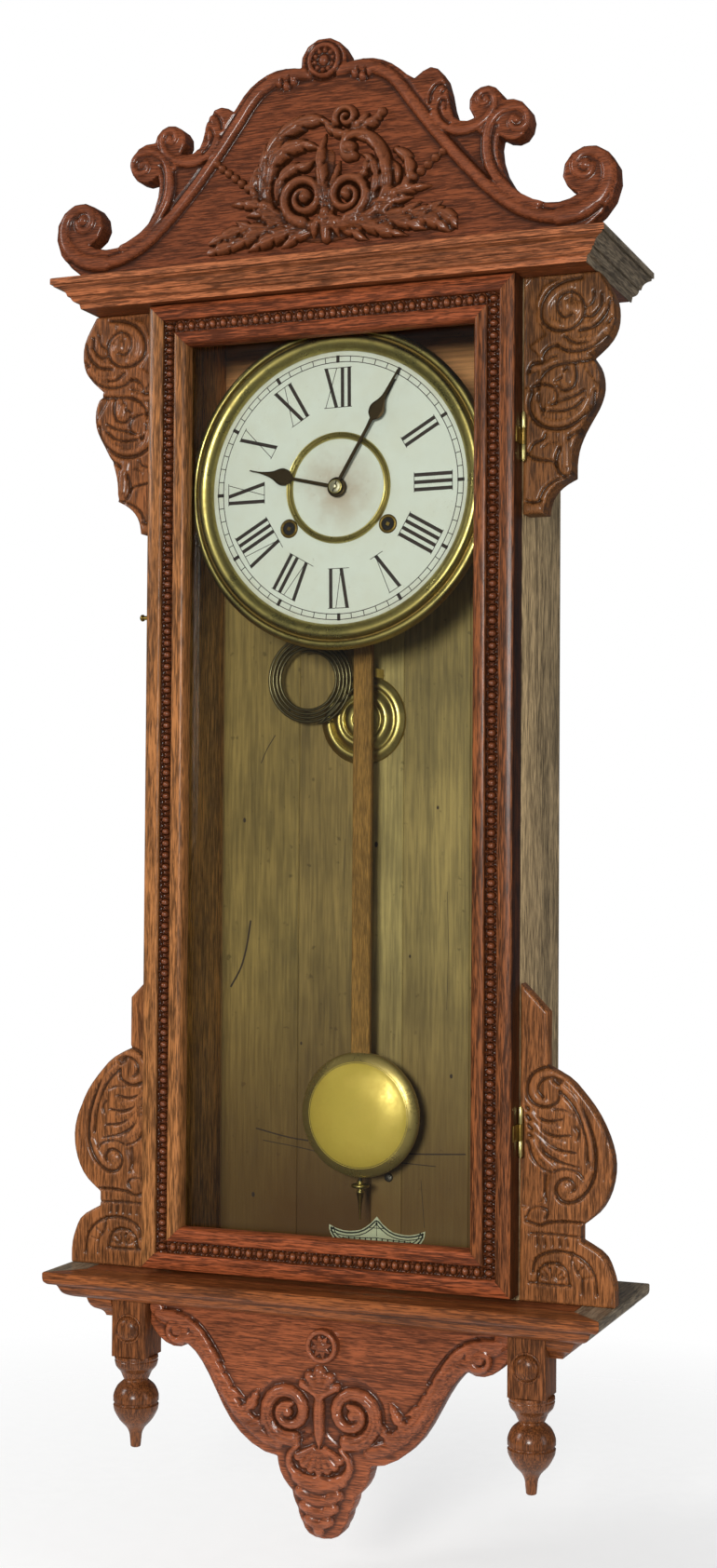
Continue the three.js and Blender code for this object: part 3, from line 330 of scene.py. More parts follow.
STEEL = metal("steel_dull", (130, 126, 118), (74, 62, 50), 0.4, 0.6)
BLUED = metal("steel_blued", (66, 54, 36), (38, 28, 18), 0.4, 0.5)
INK = plain("printed_ink", (36, 20, 14), (58, 40, 28), 0.6, 60, 0.5)
CARD = plain("printed_card", (206, 212, 178), (190, 182, 140), 0.5, 60, 0.4)
GLASS = window_glass()

# ---------------------------------------------------------------- making meshes

def mesh_piece(name, vertices, faces, material, body="case", stands_for=(), slot=None, smooth=38,
               carve=None):
    """A closed mesh, given in layout millimetres, that rides on a body."""
    mesh = bpy.data.meshes.new(name)
    mesh.from_pydata([tuple(point) for point in place(vertices)], [], faces)
    mesh.validate()
    mesh.polygons.foreach_set("use_smooth", [True] * len(mesh.polygons))
    mesh.set_sharp_from_angle(angle=math.radians(smooth))
    if carve is not None:
        mesh.attributes.new("carve", "FLOAT", "POINT").data.foreach_set("value", carve)
    piece = bpy.data.objects.new(name, mesh)
    bpy.context.scene.collection.objects.link(piece)
    mesh.materials.append(material)
    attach(piece, body)
    if stands_for:
        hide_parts(*([stands_for] if isinstance(stands_for, str) else stands_for))
    return piece


def polished(node, material, bevel=0.5, smooth=32):
    """A CAD piece with its shape kept and its edges softened, which stands for the CAD node."""
    source = NODES[node]
    mesh = source.data.copy()
    piece = bpy.data.objects.new(node + "_finished", mesh)
    bpy.context.scene.collection.objects.link(piece)
    work = bmesh.new()
    work.from_mesh(mesh)
    bmesh.ops.remove_doubles(work, verts=work.verts, dist=2e-5)
    bmesh.ops.dissolve_limit(work, angle_limit=math.radians(1.5), verts=work.verts, edges=work.edges)
    work.to_mesh(mesh)
    work.free()
    if bevel:
        modifier = piece.modifiers.new("soft edges", "BEVEL")
        modifier.width = bevel / 1000
        modifier.segments = 2
        modifier.limit_method = "ANGLE"
        modifier.angle_limit = math.radians(40)
        modifier.harden_normals = False
        bpy.context.view_layer.update()
        evaluated = piece.evaluated_get(bpy.context.evaluated_depsgraph_get())
        piece.data = bpy.data.meshes.new_from_object(evaluated)
        piece.modifiers.clear()
        mesh = piece.data
    mesh.materials.clear()
    mesh.materials.append(material)
    mesh.polygons.foreach_set("material_index", [0] * len(mesh.polygons))
    mesh.polygons.foreach_set("use_smooth", [True] * len(mesh.polygons))
    for attribute in [a.name for a in mesh.attributes if a.name in ("custom_normal", "sharp_edge")]:
        mesh.attributes.remove(mesh.attributes[attribute])
    mesh.set_sharp_from_angle(angle=math.radians(smooth))
    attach(piece, source["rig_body"])
    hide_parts(node)
    return piece


def lathe(profile, steps=72):
    """Vertices and faces of a profile [(radius, height)] turned about the height axis, which starts
    and ends on the axis. Vertices are (across, up, height)."""
    vertices, rings, faces = [], [], []
    for radius, height in profile:
        if radius < 1e-6:
            rings.append([len(vertices)])
            vertices.append((0, 0, height))
            continue
        rings.append(list(range(len(vertices), len(vertices) + steps)))
        for k in range(steps):
            angle = 2 * math.pi * k / steps
            vertices.append((radius * math.cos(angle), radius * math.sin(angle), height))
    for lower, upper in zip(rings, rings[1:]):
        for k in range(steps):
            a, b = lower[k % len(lower)], lower[(k + 1) % len(lower)]
            c, d = upper[(k + 1) % len(upper)], upper[k % len(upper)]
            face = [a, b, c, d]
            face = [v for i, v in enumerate(face) if v not in face[:i]]
            if len(face) > 2:
                faces.append(face)
    return np.array(vertices, float), faces


def facing(profile, x, y, z, steps=72, closed=False):
    """A lathe turned about the line through (x, z) that runs towards the viewer: heights grow
    forward from y. A closed profile is a ring that misses the axis."""
    vertices, faces = (ring_lathe if closed else lathe)(profile, steps)
    return np.column_stack([vertices[:, 0] + x, y - vertices[:, 2], vertices[:, 1] + z]), faces


def ring_lathe(profile, steps):
    """Vertices and faces of a closed profile that misses the axis it is turned about."""
    count = len(profile)
    vertices, faces = [], []
    for k in range(steps):
        angle = 2 * math.pi * k / steps
        for radius, height in profile:
            vertices.append((radius * math.cos(angle), radius * math.sin(angle), height))
    for k in range(steps):
        here, after = k * count, ((k + 1) % steps) * count
        for i in range(count):
            j = (i + 1) % count
            faces.append([here + i, after + i, after + j, here + j])
    return np.array(vertices, float), faces


def standing(profile, x, y, steps=64, closed=False):
    """A lathe turned about an upright line; profile heights are z. A closed profile is a ring."""
    vertices, faces = (ring_lathe if closed else lathe)(profile, steps)
    return np.column_stack([vertices[:, 0] + x, vertices[:, 1] + y, vertices[:, 2]]), faces


def curved(points, closed=False, steps=8):
    """A smooth line through points."""
    p = np.array(points, float)
    if len(p) < 3:
        return p
    ends = (p[-1:], p[:2]) if closed else (2 * p[:1] - p[1:2], 2 * p[-1:] - p[-2:-1])
    q = np.vstack([ends[0], p, ends[1]])
    out = []
    for i in range(1, len(q) - 2):
        for t in np.arange(steps) / steps:
            a, b, c, d = q[i - 1], q[i], q[i + 1], q[i + 2]
            out.append(0.5 * (2 * b + (c - a) * t + (2 * a - 5 * b + 4 * c - d) * t * t
                              + (3 * b - a - 3 * c + d) * t ** 3))
    if not closed:
        out.append(p[-1])
    return np.array(out)


def rounded_profile(points, steps=6):
    """A profile with the runs between its corners curved. A corner is a point given twice."""
    runs, run = [], [points[0]]
    for point in points[1:]:
        run.append(point)
        if point == run[-2]:
            run.pop()
            runs.append(run)
            run = [point]
    runs.append(run)
    out = []
    for run in runs:
        smooth = curved(run, steps=steps) if len(run) > 2 else np.array(run, float)
        out.extend(smooth if not out else smooth[1:])
    return [tuple(point) for point in out]


def prism(section, start, finish):
    """A closed solid swept from start(d, v) to finish(d, v), both of which place a section point."""
    count = len(section)
    vertices = [start(*point) for point in section] + [finish(*point) for point in section]
    faces = [[i, (i + 1) % count, (i + 1) % count + count, i + count] for i in range(count)]
    faces += [list(range(count))[::-1], list(range(count, 2 * count))]
    return np.array(vertices, float), faces


def merged(*parts):
    """Several solids as one list of vertices and one of faces."""
    vertices, faces, offset = [], [], 0
    for points, polygons in parts:
        vertices.append(np.asarray(points, float))
        faces += [[offset + i for i in polygon] for polygon in polygons]
        offset += len(points)
    return np.vstack(vertices), faces


def outward(vertices, faces):
    """Turns every face out, by the sign of the solid's volume."""
    v = np.asarray(vertices, float)
    total = 0.0
    for face in faces:
        a = v[face[0]]
        for i in range(1, len(face) - 1):
            total += np.dot(a, np.cross(v[face[i]], v[face[i + 1]]))
    return faces if total > 0 else [face[::-1] for face in faces]


def solid_piece(name, parts, material, body="case", stands_for=(), slot=None, smooth=34, carve=None):
    """One piece from one or more closed solids, each a pair of vertices and faces."""
    turned = [(vertices, outward(place(vertices), faces)) for vertices, faces in parts]
    return mesh_piece(name, *merged(*turned), material, body, stands_for, slot, smooth, carve)


def mirror_x(vertices, faces):
    """A solid's mirror image on the other side of the clock."""
    flipped = np.array(vertices, float)
    flipped[:, 0] *= -1
    return flipped, [face[::-1] for face in faces]


# ---------------------------------------------------------------- carving in relief

def front_outline(node):
    """The outline of a CAD board's front face, in layout millimetres, as an (n, 2) array of x, z."""
    mesh = NODES[node].data
    points = np.array([v.co for v in mesh.vertices]) * 1000 - LAYOUT_ORIGIN
    front = points[:, 1].min()
    keys, index = {}, []
    for point in points:
        key = (round(point[0], 2), round(point[1], 2), round(point[2], 2))
        index.append(keys.setdefault(key, len(keys)))
    welded = np.array(list(keys))
    following = {}
    for polygon in mesh.polygons:
        corners = [index[i] for i in polygon.vertices]
        if all(abs(welded[c][1] - front) < 0.02 for c in corners):
            for a, b in zip(corners, corners[1:] + corners[:1]):
                following.setdefault(a, set()).add(b)
    edges = {a: b for a, nexts in following.items() for b in nexts if a not in following.get(b, ())}
    loops = []
    while edges:
        start, at = next(iter(edges.items()))
        loop = [start]
        del edges[start]
        while at != start:
            loop.append(at)
            at = edges.pop(at)
        loops.append(loop)
    longest = max(loops, key=len)
    return welded[longest][:, [0, 2]], front


def spiral(x, z, start_radius, end_radius, start_degrees, turns, count=None):
    """Points of a volute: radius runs from start to end as it turns. Negative turns are clockwise."""
    count = count or int(abs(turns) * 16) + 2
    share = np.linspace(0, 1, count)
    angle = np.radians(start_degrees + 360 * turns * share)
    radius = start_radius + (end_radius - start_radius) * share
    return np.column_stack([x + radius * np.cos(angle), z + radius * np.sin(angle)])


class Relief:
    """Carving as a height over a grid of x, z: 0 is the board's front, more stands out."""

    def __init__(self, outline, pitch=0.8, level=0.0):
        self.pitch = pitch
        self.low = outline.min(0) - 2.5 * pitch
        size = np.ceil((outline.max(0) + 2.5 * pitch - self.low) / pitch).astype(int) + 1
        self.x, self.z = np.meshgrid(self.low[0] + pitch * np.arange(size[0]),
                                     self.low[1] + pitch * np.arange(size[1]))
        self.h = np.full(self.x.shape, float(level))
        self.inside = self.distance_in(outline, 30)
        self.both_ways = False

    def window(self, points, margin):
        low = np.floor((points.min(0) - margin - self.low) / self.pitch).astype(int)
        high = np.ceil((points.max(0) + margin - self.low) / self.pitch).astype(int) + 1
        low, high = np.maximum(low, 0), np.maximum(high, 0)
        return slice(low[1], high[1]), slice(low[0], high[0])

    def to_line(self, points, reach):
        """Distance from a line of points, and share along it, where it's within reach."""
        lengths = np.concatenate([[0], np.cumsum(np.hypot(*np.diff(points, axis=0).T))])
        total = max(lengths[-1], 1e-9)
        where = self.window(points, reach)
        near = np.full(self.x[where].shape, np.inf)
        along = np.zeros_like(near)
        rows0, cols0 = where[0].start, where[1].start
        for a, b, s0, s1 in zip(points, points[1:], lengths, lengths[1:]):
            if s1 - s0 < 1e-9:
                continue
            part = self.window(np.array([a, b]), reach)
            local = (slice(max(part[0].start - rows0, 0), part[0].stop - rows0),
                     slice(max(part[1].start - cols0, 0), part[1].stop - cols0))
            x, z = self.x[part] - a[0], self.z[part] - a[1]
            run = b - a
            t = np.clip((x * run[0] + z * run[1]) / (run @ run), 0, 1)
            d = np.hypot(x - t * run[0], z - t * run[1])
            if d.shape != near[local].shape:
                continue
            closer = d < near[local]
            near[local] = np.where(closer, d, near[local])
            along[local] = np.where(closer, (s0 + t * (s1 - s0)) / total, along[local])
        return where, near, along

    def distance_in(self, loop, reach):
        """Distance inside a closed outline, negative outside it, as far as reach."""
        closed = np.vstack([loop, loop[:1]])
        where, near, _ = self.to_line(closed, reach)
        full = np.full(self.x.shape, float(reach))
        full[where] = np.minimum(near, reach)
        crossings = np.zeros(self.x.shape, bool)
        for (x0, z0), (x1, z1) in zip(closed, closed[1:]):
            if z0 == z1:
                continue
            rows = (self.z >= min(z0, z1)) & (self.z < max(z0, z1))
            at = x0 + (self.z - z0) * (x1 - x0) / (z1 - z0)
            crossings ^= rows & (self.x < at)
        return np.where(crossings, full, -full)

    def each_side(self, work, points, *rest, **more):
        work(np.array(points, float), *rest, **more)
        if self.both_ways:
            work(np.array(points, float) * [-1, 1], *rest, **more)

    # Raised work. A ridge is round across, and narrows from width to end along its length.
    def ridge(self, points, width, top, end=None, floor=None, smooth=True):
        self.each_side(self._ridge, points, width, top, end, floor, smooth)

    def _ridge(self, points, width, top, end, floor, smooth):
        line = curved(points) if smooth else points
        end = width if end is None else end
        where, near, along = self.to_line(line, max(width, end) + 1)
        half = width + (end - width) * along
        t = np.clip(near / half, 0, 1)
        rise = np.sqrt(1 - t * t)
        here = self.h[where]
        base = here if floor is None else np.minimum(here, floor)
        peak = top * (0.45 + 0.55 * half / max(width, end))
        raised = base + (peak - base) * rise
        self.h[where] = np.where(near < half, np.maximum(here, raised), here)

    # A leaf is a ridge that swells and comes to a point, with lobes along its edges and veins.
    def leaf(self, points, width, top, vein=0.9, lobes=0):
        self.each_side(self._leaf, points, width, top, vein, lobes)

    def _leaf(self, points, width, top, vein, lobes):
        line = curved(points)
        where, near, along = self.to_line(line, width + 1)
        half = width * (0.32 + 0.68 * np.sin(np.pi * np.clip(along * 0.9 + 0.13, 0, 1)) ** 0.8)
        half = np.where(along > 0.82, half * np.clip((1.02 - along) / 0.2, 0, 1) ** 0.6, half)
        t = np.clip(near / np.maximum(half, 1e-3), 0, 1)
        cut = 0.0
        if lobes:
            phase = np.mod(lobes * (along - 0.16 * t) + 0.15, 1)
            notch = np.clip((phase - 0.72) / 0.28, 0, 1)
            half = half * (1 - 0.4 * notch)
            t = np.clip(near / np.maximum(half, 1e-3), 0, 1)
            cut = 0.16 * top * notch * np.clip(t * 1.4 - 0.2, 0, 1)
        here = self.h[where]
        peak = top * (0.6 + 0.4 * np.sin(np.pi * np.clip(along, 0, 1)))
        raised = here + (peak - here) * (1 - t ** 2.6) - cut
        raised -= vein * np.exp(-(near / 0.55) ** 2) * (half > 1)
        self.h[where] = np.where((near < half) & (raised > here - vein), raised, here)

    def bead(self, x, z, radius, top):
        self.each_side(self._bead, [(x, z)], radius, top)

    def _bead(self, centre, radius, top):
        where = self.window(centre, radius + 1)
        d = np.hypot(self.x[where] - centre[0, 0], self.z[where] - centre[0, 1])
        here = self.h[where]
        raised = here + (top - here) * np.sqrt(np.clip(1 - (d / radius) ** 2, 0, 1))
        self.h[where] = np.where(d < radius, np.maximum(here, raised), here)

    # Cut work. A groove is hollow across.
    def groove(self, points, width, depth, end=None, smooth=True):
        self.each_side(self._groove, points, width, depth, end, smooth)

    def _groove(self, points, width, depth, end, smooth):
        line = curved(points) if smooth else points
        end = width if end is None else end
        where, near, along = self.to_line(line, max(width, end) + 1)
        half = width + (end - width) * along
        t = np.clip(near / half, 0, 1)
        self.h[where] -= depth * (1 - t * t) * np.minimum(half / max(width, end) + 0.2, 1)

    def sink(self, outline, depth, edge=1.2):
        """Lowers the ground inside an outline."""
        self.each_side(self._sink, outline, depth, edge)

    def _sink(self, outline, depth, edge):
        share = np.clip(self.distance_in(outline, 2 * edge) / edge + 0.5, 0, 1)
        self.h -= depth * share * share * (3 - 2 * share)

    def soften(self, radius):
        """Rounds the outer edge over."""
        d = np.clip(self.inside, 0, radius)
        self.h -= radius - np.sqrt(np.maximum(radius ** 2 - (radius - d) ** 2, 0))

    def blurred(self, values, reach):
        rows, cols = values.shape
        pad = int(4 * reach / self.pitch) + 2
        wide = np.pad(values, pad, mode="edge")
        fz = np.fft.fftfreq(wide.shape[0], self.pitch)[:, None]
        fx = np.fft.rfftfreq(wide.shape[1], self.pitch)[None, :]
        gain = np.exp(-2 * (math.pi * reach) ** 2 * (fz ** 2 + fx ** 2))
        out = np.fft.irfft2(np.fft.rfft2(wide) * gain, wide.shape)
        return out[pad:pad + rows, pad:pad + cols]

    def smooth(self, reach=0.5):
        """Takes the saw edge off the carving."""
        self.h = self.blurred(self.h, reach)

    def carve_shade(self):
        """How far each point stands above or below what is round it, about -1 to 1."""
        fine = self.h - self.blurred(self.h, 1.6)
        broad = self.h - self.blurred(self.h, 4.5)
        return np.clip(0.75 * fine + 0.3 * broad, -1.2, 1.2)

    def solid(self, front, rear, mask=None):
        """Vertices, faces and carve shade of the board between its carved front and a flat rear."""
        mask = self.inside if mask is None else mask
        shade = self.carve_shade()
        rows, cols = mask.shape
        within = mask > 0
        number = np.full(mask.shape, -1)
        number[within] = np.arange(within.sum())
        points = [np.column_stack([self.x[within], front - self.h[within], self.z[within]])]
        shades = [shade[within]]
        corners = [number[:-1, :-1], number[:-1, 1:], number[1:, 1:], number[1:, :-1]]
        full = np.logical_and.reduce([c >= 0 for c in corners])
        faces = np.column_stack([c[full] for c in corners]).tolist()
        mixed = np.logical_or.reduce([c >= 0 for c in corners]) & ~full
        extra, extra_shade, edge_point = [], [], {}
        base = int(within.sum())

        def crossing(a, b):
            key = (a, b) if a < b else (b, a)
            if key not in edge_point:
                (ra, ca), (rb, cb) = key
                t = mask[ra, ca] / (mask[ra, ca] - mask[rb, cb])
                values = [grid[ra, ca] + t * (grid[rb, cb] - grid[ra, ca])
                          for grid in (self.x, self.z, self.h, shade)]
                edge_point[key] = base + len(extra)
                extra.append((values[0], front - values[2], values[1]))
                extra_shade.append(values[3])
            return edge_point[key]

        rim = {}
        for r, c in zip(*np.nonzero(mixed)):
            square = [(r, c), (r, c + 1), (r + 1, c + 1), (r + 1, c)]
            ring = []
            for here, after in zip(square, square[1:] + square[:1]):
                if within[here]:
                    ring.append((int(number[here]), False))
                if within[here] != within[after]:
                    ring.append((crossing(here, after), True))
            marks = [mark for _, mark in ring]
            if marks.count(True) == 4:
                turn = 0
                while not (marks[turn] and marks[turn - 1]):
                    turn += 1
                ring = ring[turn:] + ring[:turn]
                cuts = [i for i, (_, mark) in enumerate(ring) if mark]
                pieces = [ring[cuts[0]:cuts[1] + 1], ring[cuts[2]:cuts[3] + 1]]
            else:
                pieces = [ring]
            for loop in pieces:
                faces.append([v for v, _ in loop])
                for (a, am), (b, bm) in zip(loop, loop[1:] + loop[:1]):
                    if am and bm:
                        rim[a] = b
        points.append(np.array(extra).reshape(-1, 3))
        shades.append(np.array(extra_shade))
        top = np.vstack(points)
        loops = []
        left = dict(rim)
        while left:
            start, at = left.popitem()
            loop = [start]
            while at != start:
                loop.append(at)
                at = left.pop(at)
            loops.append(loop)
        behind = {}
        walls, back = [], []
        for loop in loops:
            for v in loop:
                behind[v] = len(top) + len(back)
                back.append((top[v][0], rear, top[v][2]))
        for a, b in rim.items():
            walls.append([b, a, behind[a], behind[b]])
        vertices = np.vstack([top, np.array(back)])
        shade_all = np.concatenate(shades + [np.full(len(back), 0.0)])
        if len(loops) == 1:
            walls.append([behind[v] for v in loops[0]][::-1])
        else:
            used = sorted({v for face in faces for v in face})
            missing = [v for v in used if v not in behind]
            start = len(vertices)
            for k, v in enumerate(missing):
                behind[v] = start + k
            flat = np.array([(top[v][0], rear, top[v][2]) for v in missing])
            vertices = np.vstack([vertices, flat])
            shade_all = np.concatenate([shade_all, np.zeros(len(missing))])
            walls += [[behind[v] for v in face][::-1] for face in faces]
        return vertices, faces + walls, shade_all.astype(np.float32)

# ---------------------------------------------------------------- the pediment and its ornament

SCROLL = [
    (12, 300.5), (24, 301.5), (34, 300.5), (43, 297), (52, 291.5), (60, 283), (68, 272), (76, 261.5),
    (84, 251), (93, 240), (102, 229), (112, 218), (122, 207.5), (132, 198), (143, 189), (155, 182),
    (168, 177.5), (180, 176), (192, 177.5), (203, 182.5), (211, 190.5), (214.5, 200.5), (213, 210.5),
    (207.5, 217), (200.5, 219.5), (194, 217.5), (190.5, 212), (191.5, 206), (196.5, 202.5),
    (201.5, 204.5), (203, 209),
]
HOLLOW_BAND = [
    (163, 186.5), (151, 191.5), (141, 199), (133, 208), (127.8, 218), (125.6, 228), (125.6, 238),
    (128, 247), (133.5, 253.5), (141.5, 256.8), (150, 256), (155.4, 251.4), (155.4, 245.2),
    (151, 241.2), (145.6, 242), (143.2, 246.2), (145.2, 250),
]
VALLEY_BAND = [
    (86, 259), (91, 251.5), (99, 246.8), (108, 245), (118, 247), (126, 252.4), (131, 259.5),
    (131, 266.5), (126.6, 270.8), (121.4, 269.8), (119.6, 265.4), (122.4, 261.8), (126.4, 263.2),
]


def pediment():
    """The scrolled board. Returns the y of its front, before any carving."""
    outline, front = front_outline("pediment")
    work = Relief(outline, 0.8, -0.9)
    work.both_ways = True
    field = SCROLL[:20] + [(224, 178), (224, 158), (0, 158), (0, 300.5)]
    work.sink(field, 2.4, 1.4)
    work.sink([
        (86, 249.5), (92, 246.5), (100, 243.4), (108, 242), (118, 243.6), (122.4, 240), (122, 228),
        (124.4, 217), (130, 206.5), (122, 209), (112, 220), (102, 231), (93, 242),
    ], 2.4, 1.2)
    work.soften(1.8)
    work.groove([(x + 3.4, z + 3.4) for x, z in SCROLL[3:16]], 2.6, 1.1)
    work.groove([(x + 1.2, z + 4.6) for x, z in SCROLL[15:21]], 2.2, 1.1)
    work.ridge(SCROLL[:19], 4.3, 0.7, 4.6, floor=-1.4)
    work.ridge(SCROLL[17:], 6.4, 1.1, 2.6, floor=-1.2)
    work.groove([
        (150, 196), (142, 202.5), (135.5, 211), (131.4, 220), (129.6, 229), (129.8, 238), (132.4, 245),
    ], 2.4, 1.2)
    work.ridge(HOLLOW_BAND, 4.4, 0.9, 2.2, floor=-1.4)
    work.ridge(VALLEY_BAND, 3.8, 0.8, 1.9, floor=-1.4)
    work.bead(147.6, 247.4, 2.6, 1.0)
    work.bead(125, 265.4, 2.2, 0.8)
    work.bead(197.6, 210.4, 4.2, 1.6)
    work.groove([(82.4, 268), (83.6, 274), (87.4, 279), (92, 280), (94.4, 276.6), (91.6, 273.6)], 1.9,
                1.9, 1.2)
    work.groove([(97, 250.5), (91.6, 256), (89.4, 263), (91.4, 268.4), (95, 267), (94.6, 261.6)], 1.9,
                1.9, 1.2)
    work.groove([(101, 256), (97.6, 264), (96.4, 272)], 1.3, 1.3, 0.6)
    for x, z, radius in ((24.5, 296.6, 3.2), (30, 294, 3.5), (35.6, 296, 2.6)):
        work.bead(x, z, radius, 0.2)
    work.groove([(27.2, 300), (27.4, 292)], 1.0, 1.6)
    work.groove([(33, 299), (33.2, 292)], 1.0, 1.6)
    work.both_ways = False
    centre = 309.0
    work.groove(spiral(0, centre, 13.6, 13.6, 0, 1, 40), 1.5, 1.5, smooth=False)
    work.sink(spiral(0, centre, 9.8, 9.8, 0, 1, 40)[:-1], 1.3, 0.8)
    work.ridge(spiral(0, centre, 11.2, 11.2, 0, 1, 40), 1.8, 1.2, smooth=False)
    for k in range(10):
        angle = math.radians(36 * k + 10)
        work.bead(7.3 * math.cos(angle), centre + 7.3 * math.sin(angle), 1.9, 0.5)
    work.bead(0, centre, 4.2, 0.9)
    work.smooth()
    vertices, faces, shade = work.solid(front, box_mm("pediment")[1][1])
    mesh_piece("pediment_carved", vertices, faces, OAK_PEDIMENT, "case", "pediment", "oak_red", 50,
               shade)
    return front


def ornament(ground):
    """The applied carving: two volutes, a leafy crest, bead strings and acanthus sprays."""
    low, high = box_mm("pediment_ornament")
    outline = np.array([(low[0], low[2]), (high[0], low[2]), (high[0], high[2]), (low[0], high[2])])
    outline = outline + np.array([(-1, -1), (1, -1), (1, 1), (-1, 1)])
    work = Relief(outline, 0.7, 0.0)
    tall = ground - low[1] - 0.3
    base = 2.2

    def mass(points, width, end=None):
        work.ridge(points, width, base, end)

    # the quiet ground that ties the carving together
    for points, width, end in (
        ([(-30, 190), (-10, 184), (4, 182), (22, 184), (40, 190)], 9, 6),
        ([(4, 186), (2, 200), (3, 222), (4, 238)], 8, 5),
        ([(-48, 208), (-44, 190), (-20, 187)], 7, 5),
        ([(50, 190), (56, 205), (52, 222)], 7, 5),
        ([(-80, 178), (-60, 182), (-40, 186)], 5, 6),
        ([(98, 178), (80, 182), (50, 186)], 5, 6),
    ):
        mass(points, width, end)
    # left crest and volute
    work.ridge([(-6, 188), (-18, 186.5), (-31, 191), (-40, 201), (-43.5, 214), (-42, 228), (-37, 240),
                (-28, 247.5)], 4.6, tall * 0.6, 3.2)
    work.leaf([(-49, 214), (-47, 230), (-41, 245), (-31, 256.5), (-18, 263.6), (-4, 265), (8, 260.6)],
              8.6,
              tall * 0.82, 1.1, 6)
    work.leaf([(-43, 220), (-38, 236), (-28, 245), (-15, 247.4), (-2, 244)], 7.4, tall * 0.95, 1.1, 4)
    work.leaf([(-36, 210), (-32.5, 222), (-24, 230), (-13, 231.6), (-6, 236)], 6.2, tall * 0.9, 1.0, 3)
    work.ridge(spiral(-14, 208, 17.5, 3.6, -95, -1.7), 4.6, tall * 0.95, 2.6, smooth=False)
    work.bead(-14, 208, 4.2, tall)
    # right crest and volute
    work.ridge([(8, 188), (22, 186.5), (37, 190.5), (47.5, 200), (51, 214), (50, 228), (45, 240),
                (36, 249), (26, 251.4), (18.6, 248), (16.2, 241.4), (19, 235.6), (24.6, 235.6)],
               5.6, tall * 0.85, 3.6)
    work.leaf([(48, 206), (50, 220), (46, 234), (38, 244), (27, 248)], 4.4, tall, 0.8, 5)
    work.leaf([(33, 198), (41, 208), (43, 220), (38.6, 231), (30, 237)], 6.0, tall * 0.78, 1.0, 4)
    work.leaf([(28, 218), (34, 224), (34, 233)], 4.2, tall * 0.7, 0.8, 2)
    work.ridge(spiral(20, 207, 16.4, 3.4, -85, 1.7), 4.4, tall * 0.95, 2.5, smooth=False)
    work.bead(20, 207, 4.0, tall)
    work.bead(22.4, 242, 4.6, tall * 0.95)
    # the top curl and its leaflets
    work.ridge(spiral(19, 264, 8.4, 2.0, 200, -1.3), 3.6, tall * 0.92, 2.0, smooth=False)
    work.leaf([(2, 262), (9, 255), (17, 252.6), (26, 255)], 4.2, tall * 0.75, 0.8, 3)
    work.leaf([(23, 256), (30.6, 259), (36, 266)], 4.6, tall * 0.84, 0.8, 2)
    work.leaf([(28, 256), (38, 258), (47, 265)], 4.8, tall * 0.78, 0.8, 3)
    work.bead(46, 265.4, 3.4, tall * 0.72)
    # the stem between the volutes
    work.leaf([(3, 190), (2, 206), (0, 220), (-2, 238), (2, 254)], 6.0, tall * 0.74, 1.0, 5)
    work.leaf([(7, 192), (7.4, 206), (10, 220), (13, 233)], 4.6, tall * 0.68, 0.9, 4)
    work.ridge([(3, 192), (3, 184), (3, 177)], 6.2, tall * 0.82, 3.4)
    work.leaf([(3, 196), (-4, 188), (-7, 178)], 4.2, tall * 0.78, 0.8, 2)
    work.leaf([(3, 196), (10, 188), (13, 178)], 4.2, tall * 0.78, 0.8, 2)
    work.bead(3, 196, 3.4, tall * 0.95)
    # crescents beside the crests
    work.leaf([(-44, 237), (-52.5, 230), (-55, 219), (-50, 206)], 4.8, tall * 0.68, 0.8, 3)
    work.leaf([(57, 237), (65.4, 230), (67.8, 218), (62, 205)], 5.0, tall * 0.68, 0.8, 3)
    work.leaf([(54, 228), (58.6, 221), (58, 210)], 3.4, tall * 0.6)
    # bead strings
    strings = (
        [(-86, 242), (-81.5, 237.6), (-76, 233.4), (-70.5, 229), (-65, 224.6), (-59.6, 220.2),
         (-54.6, 215.6)],
        [(92.6, 231.6), (87, 227.6), (81.4, 223.2), (76, 219), (70.6, 215), (65.4, 211)],
    )
    for string in strings:
        work.ridge(string, 1.7, base * 0.8, smooth=False)
        for k, (x, z) in enumerate(string):
            work.bead(x, z, 2.6 + 0.14 * k, tall * (0.55 + 0.03 * k))
